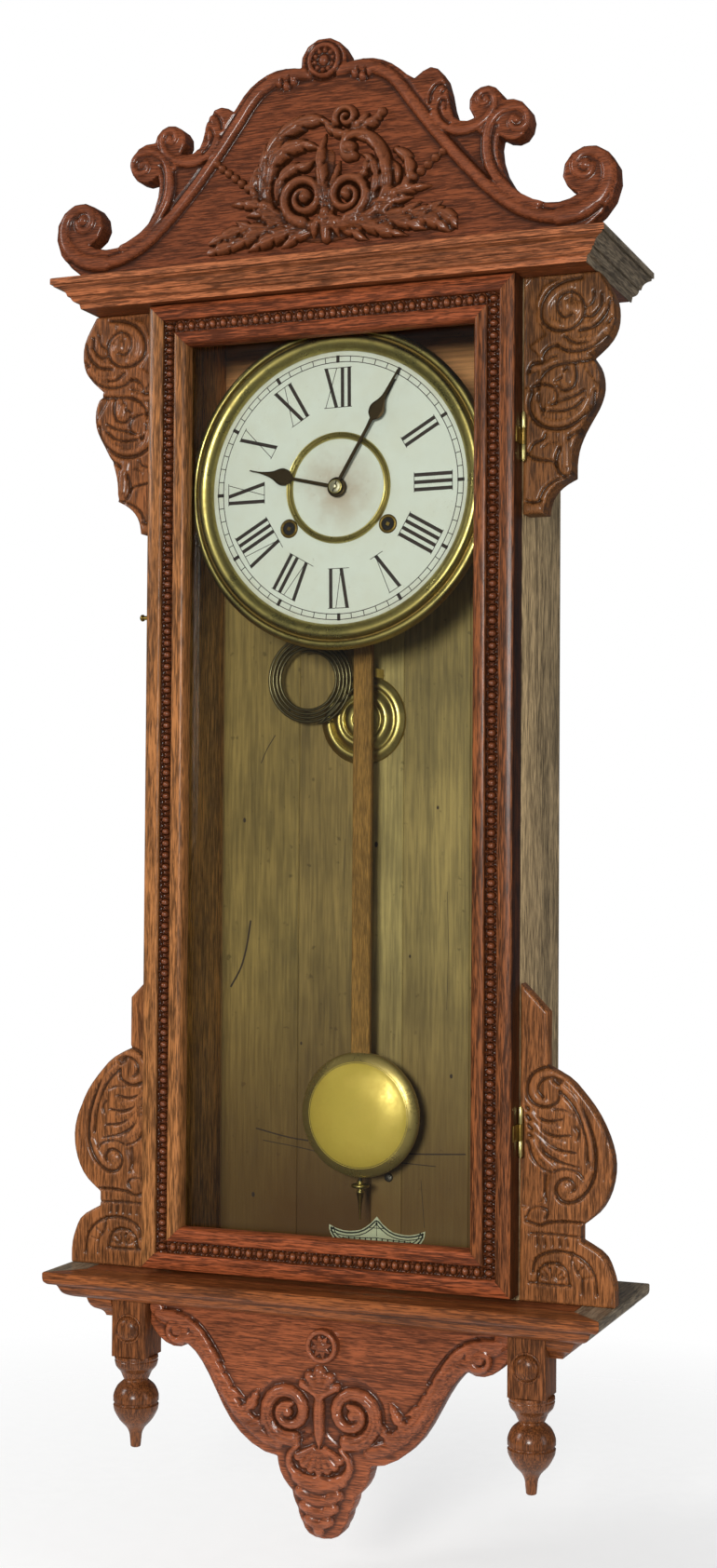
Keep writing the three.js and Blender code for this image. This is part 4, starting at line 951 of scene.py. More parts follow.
    # acanthus sprays, from the farthest leaf in
    for points, width, top, lobes in (
        ([(-52, 188), (-66, 190), (-80, 186), (-94, 181)], 6.0, 0.56, 3),
        ([(-62, 182), (-74, 179), (-86, 176), (-97, 173.6)], 5.6, 0.62, 3),
        ([(-38, 186), (-52, 185), (-64, 181), (-74, 180)], 6.0, 0.64, 3),
        ([(-30, 190), (-44, 188), (-58, 191), (-70, 197)], 5.8, 0.66, 3),
        ([(-20, 189), (-36, 193), (-50, 200), (-62, 200)], 5.4, 0.7, 3),
        ([(-26, 192), (-38, 199), (-52, 207), (-74, 209.6)], 5.8, 0.76, 4),
        ([(-14, 187), (-32, 183), (-46, 178.4), (-60, 172.8)], 6.4, 0.8, 4),
        ([(-8, 184), (-20, 180), (-29, 175), (-34, 172.6)], 4.2, 0.6, 2),
        ([(60, 189), (74, 189), (85, 192), (92, 196)], 5.4, 0.56, 3),
        ([(82, 189), (93, 187), (101, 181), (107, 173)], 5.6, 0.58, 3),
        ([(70, 185), (82, 184), (91, 179), (98, 172.6)], 5.6, 0.64, 3),
        ([(44, 186), (58, 185), (70, 181), (80, 176.6)], 6.0, 0.66, 3),
        ([(38, 191), (52, 189), (64, 191), (76, 197)], 5.8, 0.66, 3),
        ([(28, 190), (44, 193), (56, 199), (70, 201)], 5.4, 0.7, 3),
        ([(32, 193), (46, 200), (60, 206), (84, 208)], 5.8, 0.76, 4),
        ([(20, 187), (38, 183), (50, 178), (66, 173)], 6.4, 0.8, 4),
        ([(14, 184), (24, 180), (31, 175), (36, 172.8)], 4.2, 0.6, 2),
    ):
        work.leaf(points, width, tall * top, 0.9, lobes)
    for x, z in ((-46, 205.6), (57, 204)):
        work.bead(x, z, 3.2, tall * 0.85)
    work.smooth(0.45)
    mask = work.h - 0.35
    mask = np.minimum(mask, np.minimum(work.x - low[0], high[0] - work.x))
    mask = np.minimum(mask, np.minimum(work.z - low[2], high[2] - work.z))
    vertices, faces, shade = work.solid(ground - 0.02, ground + 0.6, mask)
    mesh_piece("pediment_ornament_carved", vertices, faces, OAK_ORNAMENT, "case", "pediment_ornament",
               "oak_red", 60, shade)


PEDIMENT_GROUND = pediment() + 3.3
ornament(PEDIMENT_GROUND)


# ---------------------------------------------------------------- the brackets

def upper_bracket():
    """Vertices, faces and carve shade of the right bracket beside the dial."""
    outline, front = front_outline("upper_bracket_right")
    work = Relief(outline, 0.7, 0.0)
    work.soften(1.6)
    work.sink([(146, 137), (146, 62), (156, 63), (158, 84), (150, 92), (162, 100), (156, 110),
               (155, 124),
               (160, 134), (172, 139), (150, 142)], 1.3, 1.6)
    work.sink([(208, 88), (197, 80), (200, 70), (204, 55), (200, 40), (192, 28), (188, 20), (184, 10),
               (184, 30), (196, 46), (199, 62), (188, 78)], 1.0, 1.6)
    lines = (
        ([(188, 138.6), (176, 137), (165, 131.6), (158.6, 121), (159, 110), (167, 103), (178, 102),
          (186, 106),
          (190, 113), (189.4, 121), (184.4, 127.4), (177, 129), (171.4, 124.4), (170.6, 116.6),
          (175, 111.4),
          (180.6, 112.6)], 2.0, 1.9, 1.2),
        ([(186, 121.6), (181, 125.6), (176, 123.4)], 1.4, 1.2, 0.8),
        ([(209, 121), (206, 111), (198, 103.4), (187, 101)], 1.5, 1.7, 1.9),
        ([(210, 108), (203, 98.6), (193, 93.4), (183, 92.6), (176, 97.4)], 1.5, 1.7, 1.9),
        ([(206, 96), (198, 89.4), (187, 86.4), (177, 87.4), (170, 91.4)], 1.5, 1.7, 1.9),
        ([(203, 126), (202.4, 117), (196, 110.6), (191, 111)], 1.4, 1.6, 1.5),
        ([(197.6, 128), (196.6, 121), (192, 117)], 1.3, 1.5, 1.3),
        ([(170, 91.6), (164.6, 90.4), (160, 86), (158.6, 80.6), (152, 80), (149, 74)], 1.8, 1.7, 1.4),
        ([(170, 84), (162, 82), (156, 76)], 1.2, 1.2, 0.8),
        ([(205, 83), (194, 79.6), (182, 78.6), (170, 77.4), (162, 73.4), (157.4, 67.4), (156, 61)], 1.7,
         1.9, 1.6),
        ([(177, 76), (174, 69), (169, 66)], 1.5, 1.5, 1.0),
        ([(183.4, 77), (184.6, 68), (182, 61), (175, 59), (169.6, 63)], 1.8, 1.8, 1.3),
        ([(150, 61), (155, 64.4), (162, 64), (168, 61.4), (170.4, 56), (169, 49.6)], 1.6, 1.7, 1.2),
        ([(152, 60), (149.4, 51), (151.6, 42), (158, 35.4), (168, 32), (179, 33), (189, 39),
          (195.6, 47),
          (197.6, 57)], 1.8, 2.1, 1.9),
        ([(156.6, 57), (157, 50), (160, 45.4)], 1.3, 1.4, 1.0),
        ([(160, 45.6), (166, 49.4), (174, 52), (183, 54.4), (190, 58)], 1.5, 1.6, 1.3),
        ([(164, 45.2), (174, 44.4), (183, 46.6), (190, 52)], 1.5, 1.6, 1.3),
        ([(162, 29), (160, 25), (153, 22), (149, 15)], 1.4, 1.5, 1.2),
        ([(147, 16), (153, 11.6), (160, 10), (167, 8.6), (170, 5.6)], 1.5, 1.6, 1.2),
        ([(187, 30), (179, 25), (173, 18), (170, 11), (170.4, 4), (174, -1), (179, -1.6), (183, 4),
          (184, 12)], 1.9, 2.0, 1.3),
        ([(160, 19), (164, 22), (170, 22)], 1.0, 1.1, 0.6),
        ([(176, -3), (168, -5.4), (161, -11), (157.4, -18)], 1.5, 1.6, 1.2),
        ([(147, -18.6), (153, -20), (159, -19)], 1.3, 1.5, 1.2),
    )
    for points, width, depth, end in lines:
        work.groove(points, width, depth, end)
    for points, width, top, end in (
        ([(180, 133), (169, 129), (162.4, 120), (164, 110), (172, 105.6)], 3.2, 1.0, 2.2),
        ([(183, 116), (180, 119)], 3.4, 0.8, 3.0),
        ([(155, 50), (157, 42), (164, 36.6), (176, 36.4), (187, 42.6), (193, 52)], 2.4, 0.9, 2.2),
        ([(174, 27), (176.6, 16), (177, 6)], 3.6, 0.9, 2.6),
        ([(177, 70), (179, 65)], 3.4, 0.9, 2.8),
        ([(205, 116), (197, 106), (188, 104)], 2.4, 0.7, 1.6),
        ([(206, 102), (197, 95), (185, 94)], 2.4, 0.7, 1.6),
        ([(152.6, 76), (160, 77), (168, 80)], 2.4, 0.7, 1.4),
        ([(149, -24), (157, -24)], 3.2, 0.9, 3.0),
    ):
        work.ridge(points, width, top, end)
    work.bead(163.4, 47.6, 2.2, 1.1)
    work.bead(180.4, 117, 3.0, 1.0)
    work.smooth(0.55)
    return work.solid(front, box_mm("upper_bracket_right")[1][1])


def lower_bracket():
    """Vertices, faces and carve shade of the right bracket at the foot."""
    outline, front = front_outline("lower_bracket_right")
    work = Relief(outline, 0.7, 0.0)
    work.soften(1.5)
    work.sink([(146, -451), (150, -466), (154, -484), (160, -494), (168, -497), (162, -516),
               (150, -521),
               (146, -520)], 1.2, 1.5)
    lines = (
        ([(172, -421.6), (163, -421), (155, -425.6), (150.6, -433), (151, -441.6), (156.6, -447.4),
          (165, -448.6),
          (172.6, -444.6), (174, -438)], 1.9, 2.0, 1.4),
        ([(176, -430), (168, -427.6), (161, -430.6), (158.4, -437), (162, -442)], 1.6, 1.8, 1.2),
        ([(170, -430), (180, -436.6), (188, -445.6), (194, -457), (198.6, -470), (200.6, -484),
          (198.6, -498),
          (192.6, -508.6), (184, -514.6), (176, -514), (171.6, -507.6), (174, -500.6), (180.4, -498.4),
          (185.4, -502.4), (184.6, -508)], 2.2, 2.2, 1.5),
        ([(174, -437), (183, -446), (190, -458), (194, -472), (195, -486)], 1.5, 1.6, 1.1),
        ([(203.6, -452), (207.6, -466), (208.6, -482), (206.6, -498)], 1.3, 1.0, 0.8),
        ([(150, -449.6), (156, -455.6), (166, -458.6), (176, -457)], 1.5, 1.8, 1.0),
        ([(150, -455.6), (158, -464), (170, -468.6), (182, -468)], 1.6, 1.9, 1.0),
        ([(151, -462), (160, -472), (172, -478), (186, -480)], 1.6, 1.9, 1.0),
        ([(152, -468.6), (162, -480), (174, -486.6), (188, -490)], 1.6, 1.9, 1.0),
        ([(170, -450), (178, -450.6), (185, -453.6)], 1.2, 1.3, 0.8),
        ([(186, -462), (188.4, -466), (187, -471)], 1.6, 1.6, 1.2),
        ([(151, -474), (154, -484), (161, -492), (168, -494.6)], 1.7, 1.8, 1.3),
        ([(170, -494), (178, -491.6), (188, -493.6), (193.6, -500)], 1.4, 1.5, 1.1),
        ([(164, -496), (163, -506), (165, -515)], 1.4, 1.4, 1.2),
        ([(150, -527), (153, -521), (160, -519), (166, -522), (164, -527)], 1.5, 1.6, 1.2),
        ([(150, -529.6), (160, -532), (166, -529.8), (178, -528.4), (191, -528.4)], 1.5, 1.9, 1.3),
        ([(153, -538), (172, -537.8), (190, -538.6)], 1.3, 1.5, 1.1),
        ([(155, -565), (156.6, -557), (164, -551.6), (175, -549.4), (187, -551.6), (196, -558),
          (200.6, -566), (202, -578)], 1.6, 1.8, 1.3),
        ([(158, -571), (160, -563), (166, -558.6), (174, -558.4), (180, -563), (182, -572)], 1.5, 1.7,
         1.3),
        ([(184, -550), (186, -560), (191, -568), (191, -578)], 1.2, 1.3, 0.9),
        ([(153, -572.6), (168, -573), (183, -573)], 1.3, 1.5, 1.2),
    )
    for points, width, depth, end in lines:
        work.groove(points, width, depth, end)
    for x in (158, 163.6, 169.2, 174.8, 180.4):
        work.groove([(x, -540.6), (x + 0.4, -546.4)], 1.0, 1.4)
    for k in range(6):
        angle = math.radians(22 + 27 * k)
        reach = (3.6, 10.4)
        work.groove([(169.6 + r * math.cos(angle), -571 + 0.9 * r * math.sin(angle)) for r in reach],
                    1.0, 1.3)
        work.groove([(178 + r * math.cos(angle), -572 + 0.8 * r * math.sin(angle)) for r in (15, 22)],
                    0.9, 1.0)
    for points, width, top, end in (
        ([(168, -424.6), (158, -427), (154, -435), (157, -443), (164, -445.6)], 2.4, 0.9, 2.0),
        ([(176, -433.6), (186, -443), (191.6, -456), (196, -470), (197.4, -484)], 1.9, 0.9, 1.9),
        ([(153, -453.4), (162, -461), (174, -463.4)], 2.2, 0.8, 1.2),
        ([(154, -460.6), (164, -469), (178, -474)], 2.2, 0.8, 1.2),
        ([(155, -467.4), (165, -476), (178, -483)], 2.2, 0.8, 1.2),
        ([(154.6, -473), (162, -484), (170, -490.6)], 3.0, 1.2, 1.6),
        ([(197, -492), (190, -504.6), (182, -511)], 2.2, 0.9, 1.8),
        ([(178, -505)], 3.0, 1.0, 3.0),
    ):
        if len(points) > 1:
            work.ridge(points, width, top, end)
        else:
            work.bead(*points[0], width, top)
    work.smooth(0.55)
    return work.solid(front, box_mm("lower_bracket_right")[1][1])


def carved_pair(name, made, right_material, left_material):
    """The right piece as carved, and its mirror image on the left."""
    vertices, faces, shade = made
    for side, material, solid in (("_right", right_material, (vertices, faces)),
                                  ("_left", left_material, mirror_x(vertices, faces))):
        mesh_piece(name + side + "_carved", *solid, material, "case", name + side, "oak_gold", 50,
                   shade)


carved_pair("upper_bracket", upper_bracket(), OAK_BRACKET_SHADED, OAK_BRACKET_LIT)
carved_pair("lower_bracket", lower_bracket(), OAK_BRACKET, OAK_BRACKET)


# ---------------------------------------------------------------- the apron

def apron():
    """The board below the shelf, with its leaves, two volutes, shells and tiers."""
    outline, front = front_outline("apron")
    work = Relief(outline, 0.7, -2.0)
    work.soften(1.6)
    work.both_ways = True
    work.ridge([(137, -612), (131, -618), (122, -622), (113, -628), (105, -634), (97, -641), (90, -650),
                (83, -661),
                (76, -672), (68, -682.6), (58, -691.6), (47, -698.6), (36, -702)], 5.8, 0.2, 5.0,
                floor=-1.6)
    work.leaf([(134, -617), (121, -617), (108, -622), (98, -630), (90, -639)], 5.2, 1.5, 0.8, 4)
    work.leaf([(102, -631), (93, -640), (85, -652), (80, -658)], 5.2, 1.6, 0.8, 3)
    work.leaf([(90, -646), (82, -658), (75, -667), (64, -673)], 5.0, 1.5, 0.8, 3)
    work.leaf([(80, -664), (72, -676), (62, -684), (52, -688)], 5.6, 1.6, 0.8, 4)
    work.leaf([(66, -684), (58, -677), (52, -666)], 4.8, 1.6, 0.8, 3)
    work.leaf([(58, -692), (48, -688), (43, -679)], 4.6, 1.6, 0.8, 2)
    work.leaf([(104, -632), (112, -634), (122, -637)], 4.2, 1.2, 0.8, 2)
    work.groove([(129, -613), (118, -614), (106, -619), (96, -627), (88, -637), (81, -648)], 1.8, 1.6)
    work.ridge(spiral(120, -628, 9.5, 2.2, 100, 1.5), 3.0, 1.2, 2.0, smooth=False)
    work.bead(120, -628, 3.2, 1.4)
    work.both_ways = False
    # the two big volutes, which are not quite alike
    for x, z, radius, way in ((-28, -679, 19.4, -1), (22.5, -677, 20.4, 1)):
        work.sink(spiral(x, z, radius + 5, radius + 5, 0, 1, 40)[:-1], 0.9, 1.6)
        work.ridge(spiral(x, z, radius, 7.0, -90 - way * 10, way * 1.3), 6.6, 1.9, 3.6, smooth=False)
        for k in range(3):
            work.groove(spiral(x, z, radius + 2.4 - 3.0 * k, 11 - 2.6 * k, -70 - way * (10 + 12 * k),
                               way * 0.72),
                        0.8, 1.0, smooth=False)
        work.leaf([(x - way * 3, z + 6), (x + way * 5, z + 3), (x + way * 8, z - 6)], 3.8, 1.7, 0.6)
        work.bead(x + way * 0.5, z - 0.5, 4.4, 2.0)
    # the shell between them
    for dx, dz, width in ((-13.4, 5.6, 3.6), (13, 5.6, 3.6), (-7.6, 11.6, 4.4), (7.6, 11.6, 4.4),
                          (0, 14.8, 5.2)):
        work.ridge([(-3, -667), (-3 + dx * 0.55, -665 + dz * 0.6), (-3 + dx, -664 + dz)], 2.2, 1.8,
                   width)
    work.leaf([(-3, -664), (-3.6, -676), (-3.4, -690), (-3, -704)], 5.2, 1.7, 0.8)
    # the fluted shell, the curls beside it and the tiers below
    work.sink([(-22, -705), (-23, -716), (-18, -722), (12, -722), (17, -716), (16, -705)], 0.25, 1.6)
    for k in range(7):
        angle = math.radians(-90 + (k - 3) * 19)
        near, far = 5.0, 19.5
        work.ridge([(-3 + near * math.cos(angle), -700 + near * math.sin(angle)),
                    (-3 + far * math.cos(angle), -700 + far * math.sin(angle))], 1.4, 1.5, 3.9,
                    floor=-0.8)
    work.ridge([(-20, -703), (-26, -710), (-26, -718), (-20, -724.4), (-12, -726.6), (-3, -727)], 2.0,
               1.7, 4.6)
    work.ridge([(14, -703), (20, -710), (20, -718), (14, -724.4), (6, -726.6), (-3, -727)], 2.0, 1.7,
               4.6)
    for z, half, drop, thick in ((-730, 17, 4.6, 5.2), (-739.6, 14.4, 4, 4.8), (-748.6, 11.2, 3.2, 4.6),
                                 (-757, 7.4, 2, 4.4)):
        arc = [(-3 - half, z + drop), (-3 - half * 0.55, z + drop * 0.1), (-3, z - drop * 0.35),
               (-3 + half * 0.55, z + drop * 0.1), (-3 + half, z + drop)]
        work.ridge(arc, thick, 1.7, floor=-1.6)
        work.bead(-3 + half * 0.72, z + drop * 0.5, thick * 0.9, 2.0)
    work.bead(-3, -762, 4.6, 1.4)
    work.smooth(0.55)
    vertices, faces, shade = work.solid(front, box_mm("apron")[1][1])
    mesh_piece("apron_carved", vertices, faces, OAK_APRON, "case", "apron", "oak_red", 50, shade)


def apron_rosette():
    """The small round flower applied to the top of the apron."""
    low, high = box_mm("apron_rosette")
    x, z = (low[0] + high[0]) / 2, (low[2] + high[2]) / 2
    outline = spiral(x, z, (high[0] - low[0]) / 2, (high[0] - low[0]) / 2, 0, 1, 64)[:-1]
    work = Relief(outline, 0.45, 0.0)
    tall = 0.0
    work.h[:] = -2.4
    work.ridge(spiral(x, z, 10.4, 10.4, 0, 1, 48), 2.0, tall, smooth=False)
    for k in range(8):
        angle = math.radians(45 * k + 12)
        work.leaf([(x + r * math.cos(angle), z + r * math.sin(angle)) for r in (2.4, 5, 8.4)], 2.2,
                  -0.4, 0.5)
    work.bead(x, z, 2.8, 0.0)
    work.smooth(0.3)
    vertices, faces, shade = work.solid(low[1], high[1] + 2)
    mesh_piece("apron_rosette_carved", vertices, faces, OAK_APRON, "case", "apron_rosette", "oak_red",
               50, shade)


apron()
apron_rosette()

# ---------------------------------------------------------------- turned drops and their blocks

BLOCK_DEPTH, BUTTON_Z = 28.0, -629


def drop_finial(side):
    """A turned drop: a flat-bottomed tip, a ball with a groove round it, a neck and a collar."""
    x, y = (float(v) for v in (middle(f"drop_finial_{side}") * 1000 - Vector((CENTRE_X, CASE_FRONT,
                                                                              CENTRE_Z))).xy)
    low, high = box_mm(f"drop_finial_{side}")
    foot, head = low[2], high[2]
    profile = rounded_profile([
        (0, foot), (2.6, foot), (3.8, foot + 0.9), (3.8, foot + 0.9), (4.2, foot + 5),
        (4.9, foot + 10.6),
        (7.2, foot + 15.2), (12.2, foot + 20.6), (16.2, foot + 27.6), (17.15, foot + 32.2),
        (17.15, foot + 32.2), (16.2, foot + 33.2), (16.0, foot + 33.8), (16.2, foot + 34.4),
        (17.15, foot + 35.2), (17.15, foot + 35.2), (16.9, foot + 40), (14.2, foot + 46),
        (9.6, foot + 50.2),
        (9.6, foot + 50.2), (9.2, foot + 51.2), (9.8, foot + 52.4), (9.8, foot + 52.4),
        (12, foot + 57.2),
        (15.2, foot + 61), (16.4, foot + 65.2), (16.4, foot + 65.2), (16.0, foot + 66.2),
        (16.5, foot + 67.4),
        (16.3, head), (16.3, head), (0, head),
    ])
    solid_piece(f"drop_finial_{side}_turned", [standing(profile, x, y)], OAK_TURNED, "case",
                f"drop_finial_{side}", "oak_red", 32)


def drop_block(side):
    """A square block with its corners eased and a raised button on its face."""
    low, high = box_mm(f"drop_block_{side}")
    front = high[1] - BLOCK_DEPTH
    x = (low[0] + high[0]) / 2
    ease = 0.9
    section = []
    for cx, cy, start in ((high[0], high[1], 0), (low[0], high[1], 90), (low[0], front, 180),
                          (high[0], front, 270)):
        for k in range(4):
            angle = math.radians(start + 30 * k)
            sx, sy = (1 if cx == high[0] else -1), (1 if cy == high[1] else -1)
            section.append((cx - sx * ease + ease * math.cos(angle),
                            cy - sy * ease + ease * math.sin(angle)))
    body = prism(section, lambda px, py: (px, py, low[2]), lambda px, py: (px, py, high[2]))
    button = facing(rounded_profile([
        (0, -1.5), (11.2, -1.5), (11.2, -1.5), (11.0, 0.5), (9.8, 0.9), (9.2, 0.2), (9.2, 0.2),
        (8.6, 1.6),
        (6.6, 3.4), (3.4, 4.5), (0, 4.8),
    ]), x, front, BUTTON_Z, 56)
    solid_piece(f"drop_block_{side}_eased", [body, button], OAK_BLOCK, "case",
                f"drop_block_{side}", "oak_red", 30)


for side in ("left", "right"):
    drop_finial(side)
    drop_block(side)


# ---------------------------------------------------------------- mouldings

MITRE_GAP = 0.15


def cornice_section(low, high):
    """Points (distance in from the front, height) of the cornice moulding."""
    return rounded_profile([
        (18.2, high), (18.2, high), (0.7, high), (0.7, high), (0, high - 0.7), (0, high - 0.7),
        (0, high - 4.8), (0, high - 4.8),
        (1.9, high - 4.8), (1.9, high - 4.8), (1.9, high - 6.3), (1.9, high - 6.3),
        (5.4, high - 7.2), (8.4, high - 9.4), (9.8, high - 12.6), (9.8, high - 12.6),
        (11.5, high - 12.6), (11.5, high - 12.6), (11.7, high - 14.0), (13.4, high - 16.2),
        (16.4, high - 17.2), (16.4, high - 17.2), (17.2, low), (17.2, low), (18.2, low),
    ], 5)


def shelf_section(low, high):
    """The same for the moulding of the shelf."""
    return rounded_profile([
        (24.2, high), (24.2, high), (0.8, high), (0.8, high), (0, high - 0.8), (0, high - 0.8),
        (0, high - 4.6), (0, high - 4.6),
        (0.7, high - 7.2), (3.2, high - 9.4), (7.4, high - 10.1), (7.4, high - 10.1),
        (8.4, high - 11.4),
        (8.4, high - 11.4), (11.2, high - 16.6), (16.6, high - 19.6), (23.2, low), (23.2, low),
        (24.2, low),
    ], 5)


def trim_round(name, section, front_material, side_material):
    """Three mitred lengths of moulding on the front and ends of a board."""
    low, high = box_mm(name + "_front")
    half = box_mm(name + "_right")[1][0]
    front = low[1]
    shape = section(low[2], high[2])
    gap = MITRE_GAP

    def step_shade(points, depth):
        """Painted shade in the inner corners of the steps."""
        corners = [(1.9, high[2] - 4.8), (11.5, high[2] - 12.6), (7.4, high[2] - 10.1),
                   (8.4, high[2] - 11.4)]
        corners = corners[:2] if name == "cornice" else corners[2:]
        return [-0.5 if min(math.hypot(depth(p) - d, p[2] - z) for d,
                            z in corners) < 0.2 else 0.0 for p in points]

    run = prism(shape, lambda d, z: (-(half - d - gap), front + d, z), lambda d,
                z: (half - d - gap, front + d, z))
    solid_piece(name + "_front_moulded", [run], front_material, "case", name + "_front",
                "oak_red", 24, step_shade(run[0], lambda p: p[1] - front))
    wall = box_mm(name + "_right")[1][1]
    end = prism(shape, lambda d, z: (half - d, front + d + gap, z), lambda d, z: (half - d, wall, z))
    shade = step_shade(end[0], lambda p: half - p[0])
    for side, solid in (("_right", end), ("_left", mirror_x(*end))):
        solid_piece(name + side + "_moulded", [solid], side_material, "case", name + side,
                    "oak_red", 24, shade)


trim_round("cornice", cornice_section, OAK_FRONT, OAK_RETURN_SHEEN)
trim_round("shelf", shelf_section, OAK_SHELF, OAK_RETURN_SHEEN)
for node in ("under_moulding_left", "under_moulding_right"):
    polished(node, OAK_SHELF, 0.4)
for node in ("cornice_board", "shelf_board"):
    polished(node, OAK_ALONG_X, 0.4)
for node in ("side_left", "side_right"):
    polished(node, OAK_SIDE_SHEEN, 0.8)


# ---------------------------------------------------------------- the door

BEAD_PITCH = 8.9
BEAD_ROWS, BEAD_STEPS = 17, 14  # grid across the channel, and along one bead
CHANNEL = (11.9, 21.1)
CHANNEL_DEPTH = 4.4


def door_section(front):
    """Points (distance in from the door's outer edge, y), with the sunk channel for the beads."""
    back = box_mm("door_rail_top")[1][1]
    rebate = box_mm("door_glass")[0][1] - 0.3
    return rounded_profile([
        (0, back), (0, front + 2.0), (0, front + 2.0), (0.5, front + 0.6), (2.0, front), (2.0, front),
        (10.4, front), (10.4, front), (11.5, front + 0.6), (CHANNEL[0], front + 1.8),
        (CHANNEL[0], front + 1.8),
        (CHANNEL[0] + 0.2, front + CHANNEL_DEPTH), (CHANNEL[1] - 0.2, front + CHANNEL_DEPTH),
        (CHANNEL[1], front + 1.6),
        (CHANNEL[1], front + 1.6), (21.7, front + 0.7), (22.8, front + 0.4), (22.8, front + 0.4),
        (28.0, front + 0.5), (28.0, front + 0.5), (30.0, front + 1.2), (31.5, front + 4.0),
        (31.5, front + 4.0), (31.5, rebate), (26.2, rebate), (26.2, back),
    ], 4)


def bead_strip(length):
    """Egg beads in a sunk channel, as (along, across, out) points with across from 0 to the
    channel's width: each egg sits in a raised rim, with a dart between neighbours."""
    width = CHANNEL[1] - CHANNEL[0]
    count = max(int(round(length / BEAD_PITCH)), 1)
    pitch = length / count
    across = np.linspace(0.1, width - 0.1, BEAD_ROWS)
    along = np.linspace(0, length, count * BEAD_STEPS + 1)
    a, c = np.meshgrid(along, across)
    local = np.abs(np.mod(a, pitch) - pitch / 2)
    mid = width * 0.52
    egg = 1 - (local / 2.55) ** 2 - ((c - mid) / 3.3) ** 2
    ring = np.hypot(local / 3.55, (c - mid) / 4.3)
    out = np.zeros_like(a)
    out = np.maximum(out, 1.9 * np.clip(1 - ((ring - 1) / 0.17) ** 2, 0, 1) * (c < mid + 3.0))
    dart = np.clip(1 - np.abs(local - pitch / 2) / (0.4 + 0.22 * np.clip(c - mid, 0, 9)), 0, 1)
    out = np.maximum(out, 2.0 * np.sqrt(dart) * (c > mid - 1.2))
    out = np.maximum(out, 3.6 * np.sqrt(np.clip(egg, 0, 1)))
    edge = np.minimum(c - 0.1, width - 0.1 - c)
    out = np.maximum(out, 1.3 * np.clip(1 - edge / 0.7, 0, 1))
    # painted shade, darkest on the channel floor, and a painted highlight on the egg tops
    shade = np.clip((out - 2.0) / 1.6, -1, 1)
    rows, cols = a.shape
    starts = (r * cols + k for r in range(rows - 1) for k in range(cols - 1))
    faces = [[v, v + 1, v + 1 + cols, v + cols] for v in starts]
    return a.ravel(), c.ravel(), out.ravel(), faces, shade.ravel()


def strip_solid(name, length, to_place, material):
    """A strip of beads with a flat back, set on the door by to_place(along, across, out)."""
    along, across, out, faces, shade = bead_strip(length)
    rows = BEAD_ROWS
    cols = len(along) // rows
    top = np.array([to_place(a, c, o) for a, c, o in zip(along, across, out)])
    rim = list(range(cols)) + [r * cols + cols - 1 for r in range(1, rows)]
    rim += [(rows - 1) * cols + k for k in range(cols - 2, -1, -1)] + [r * cols for r in range(rows - 2,
                                                                                               0, -1)]
    below = np.array([to_place(along[i], across[i], -0.15) for i in rim])
    start = len(top)
    walls = []
    for k, v in enumerate(rim):
        after = (k + 1) % len(rim)
        walls.append([v, start + k, start + after, rim[after]])
    walls.append([start + k for k in range(len(rim))][::-1])
    vertices = np.vstack([top, below])
    # the sides and back of the strip take painted shade
    shade = np.concatenate([shade, np.full(len(rim), -0.8)]).astype(np.float32)
    solid_piece(name, [(vertices, faces + walls)], material, "door", (), "oak_gold", 70, shade)


def door():
    right = box_mm("door_stile_right")[1][0]
    top, bottom = box_mm("door_stile_right")[1][2], box_mm("door_stile_right")[0][2]
    front = box_mm("door_stile_right")[0][1]
    section = door_section(front)
    gap = MITRE_GAP
    floor = front + CHANNEL_DEPTH

    def member(name, node, start, finish, material):
        solid_piece(name, [prism(section, start, finish)], material, "door", node, "oak_gold", 26)

    member("door_stile_right_moulded", "door_stile_right", lambda d, y: (right - d, y, top - d),
           lambda d, y: (right - d, y, bottom + d), OAK_STILE_SHADED)
    member("door_stile_left_moulded", "door_stile_left", lambda d, y: (-right + d, y, top - d),
           lambda d, y: (-right + d, y, bottom + d), OAK_STILE_LIT)
    member("door_rail_top_moulded", "door_rail_top", lambda d, y: (-right + d + gap, y, top - d),
           lambda d, y: (right - d - gap, y, top - d), OAK_DOOR_RAIL)
    member("door_rail_bottom_moulded", "door_rail_bottom", lambda d,
           y: (-right + d + gap, y, bottom + d),
           lambda d, y: (right - d - gap, y, bottom + d), OAK_DOOR_RAIL)
    inset, outer = CHANNEL
    tall = top - bottom - 2 * inset
    wide = 2 * right - 2 * outer - 0.4
    side_beads = oak("oak_beads_upright", (98, 56, 34), "z", 0.4, 0.8, 1.9, 0.7, 0.26)
    strip_solid("door_beads_left", tall - 0.6,
                lambda a, c, o: (-right + inset + c, floor - o, bottom + inset + 0.3 + a), side_beads)
    strip_solid("door_beads_right", tall - 0.6,
                lambda a, c, o: (right - inset - c, floor - o, bottom + inset + 0.3 + a), side_beads)
    strip_solid("door_beads_top", wide,
                lambda a, c, o: (-wide / 2 + a, floor - o, top - inset - c), OAK_BEADS)
    strip_solid("door_beads_bottom", wide,
                lambda a, c, o: (-wide / 2 + a, floor - o, bottom + inset + c), OAK_BEADS)


door()


def use(material, *nodes):
    """Gives carried-over CAD pieces a material."""
    for node in nodes:
        slots = NODES[node].data.materials
        slots.clear()
        slots.append(material)


use(GLASS, "door_glass")


# ---------------------------------------------------------------- the backboard

SHELF_TOP = -585


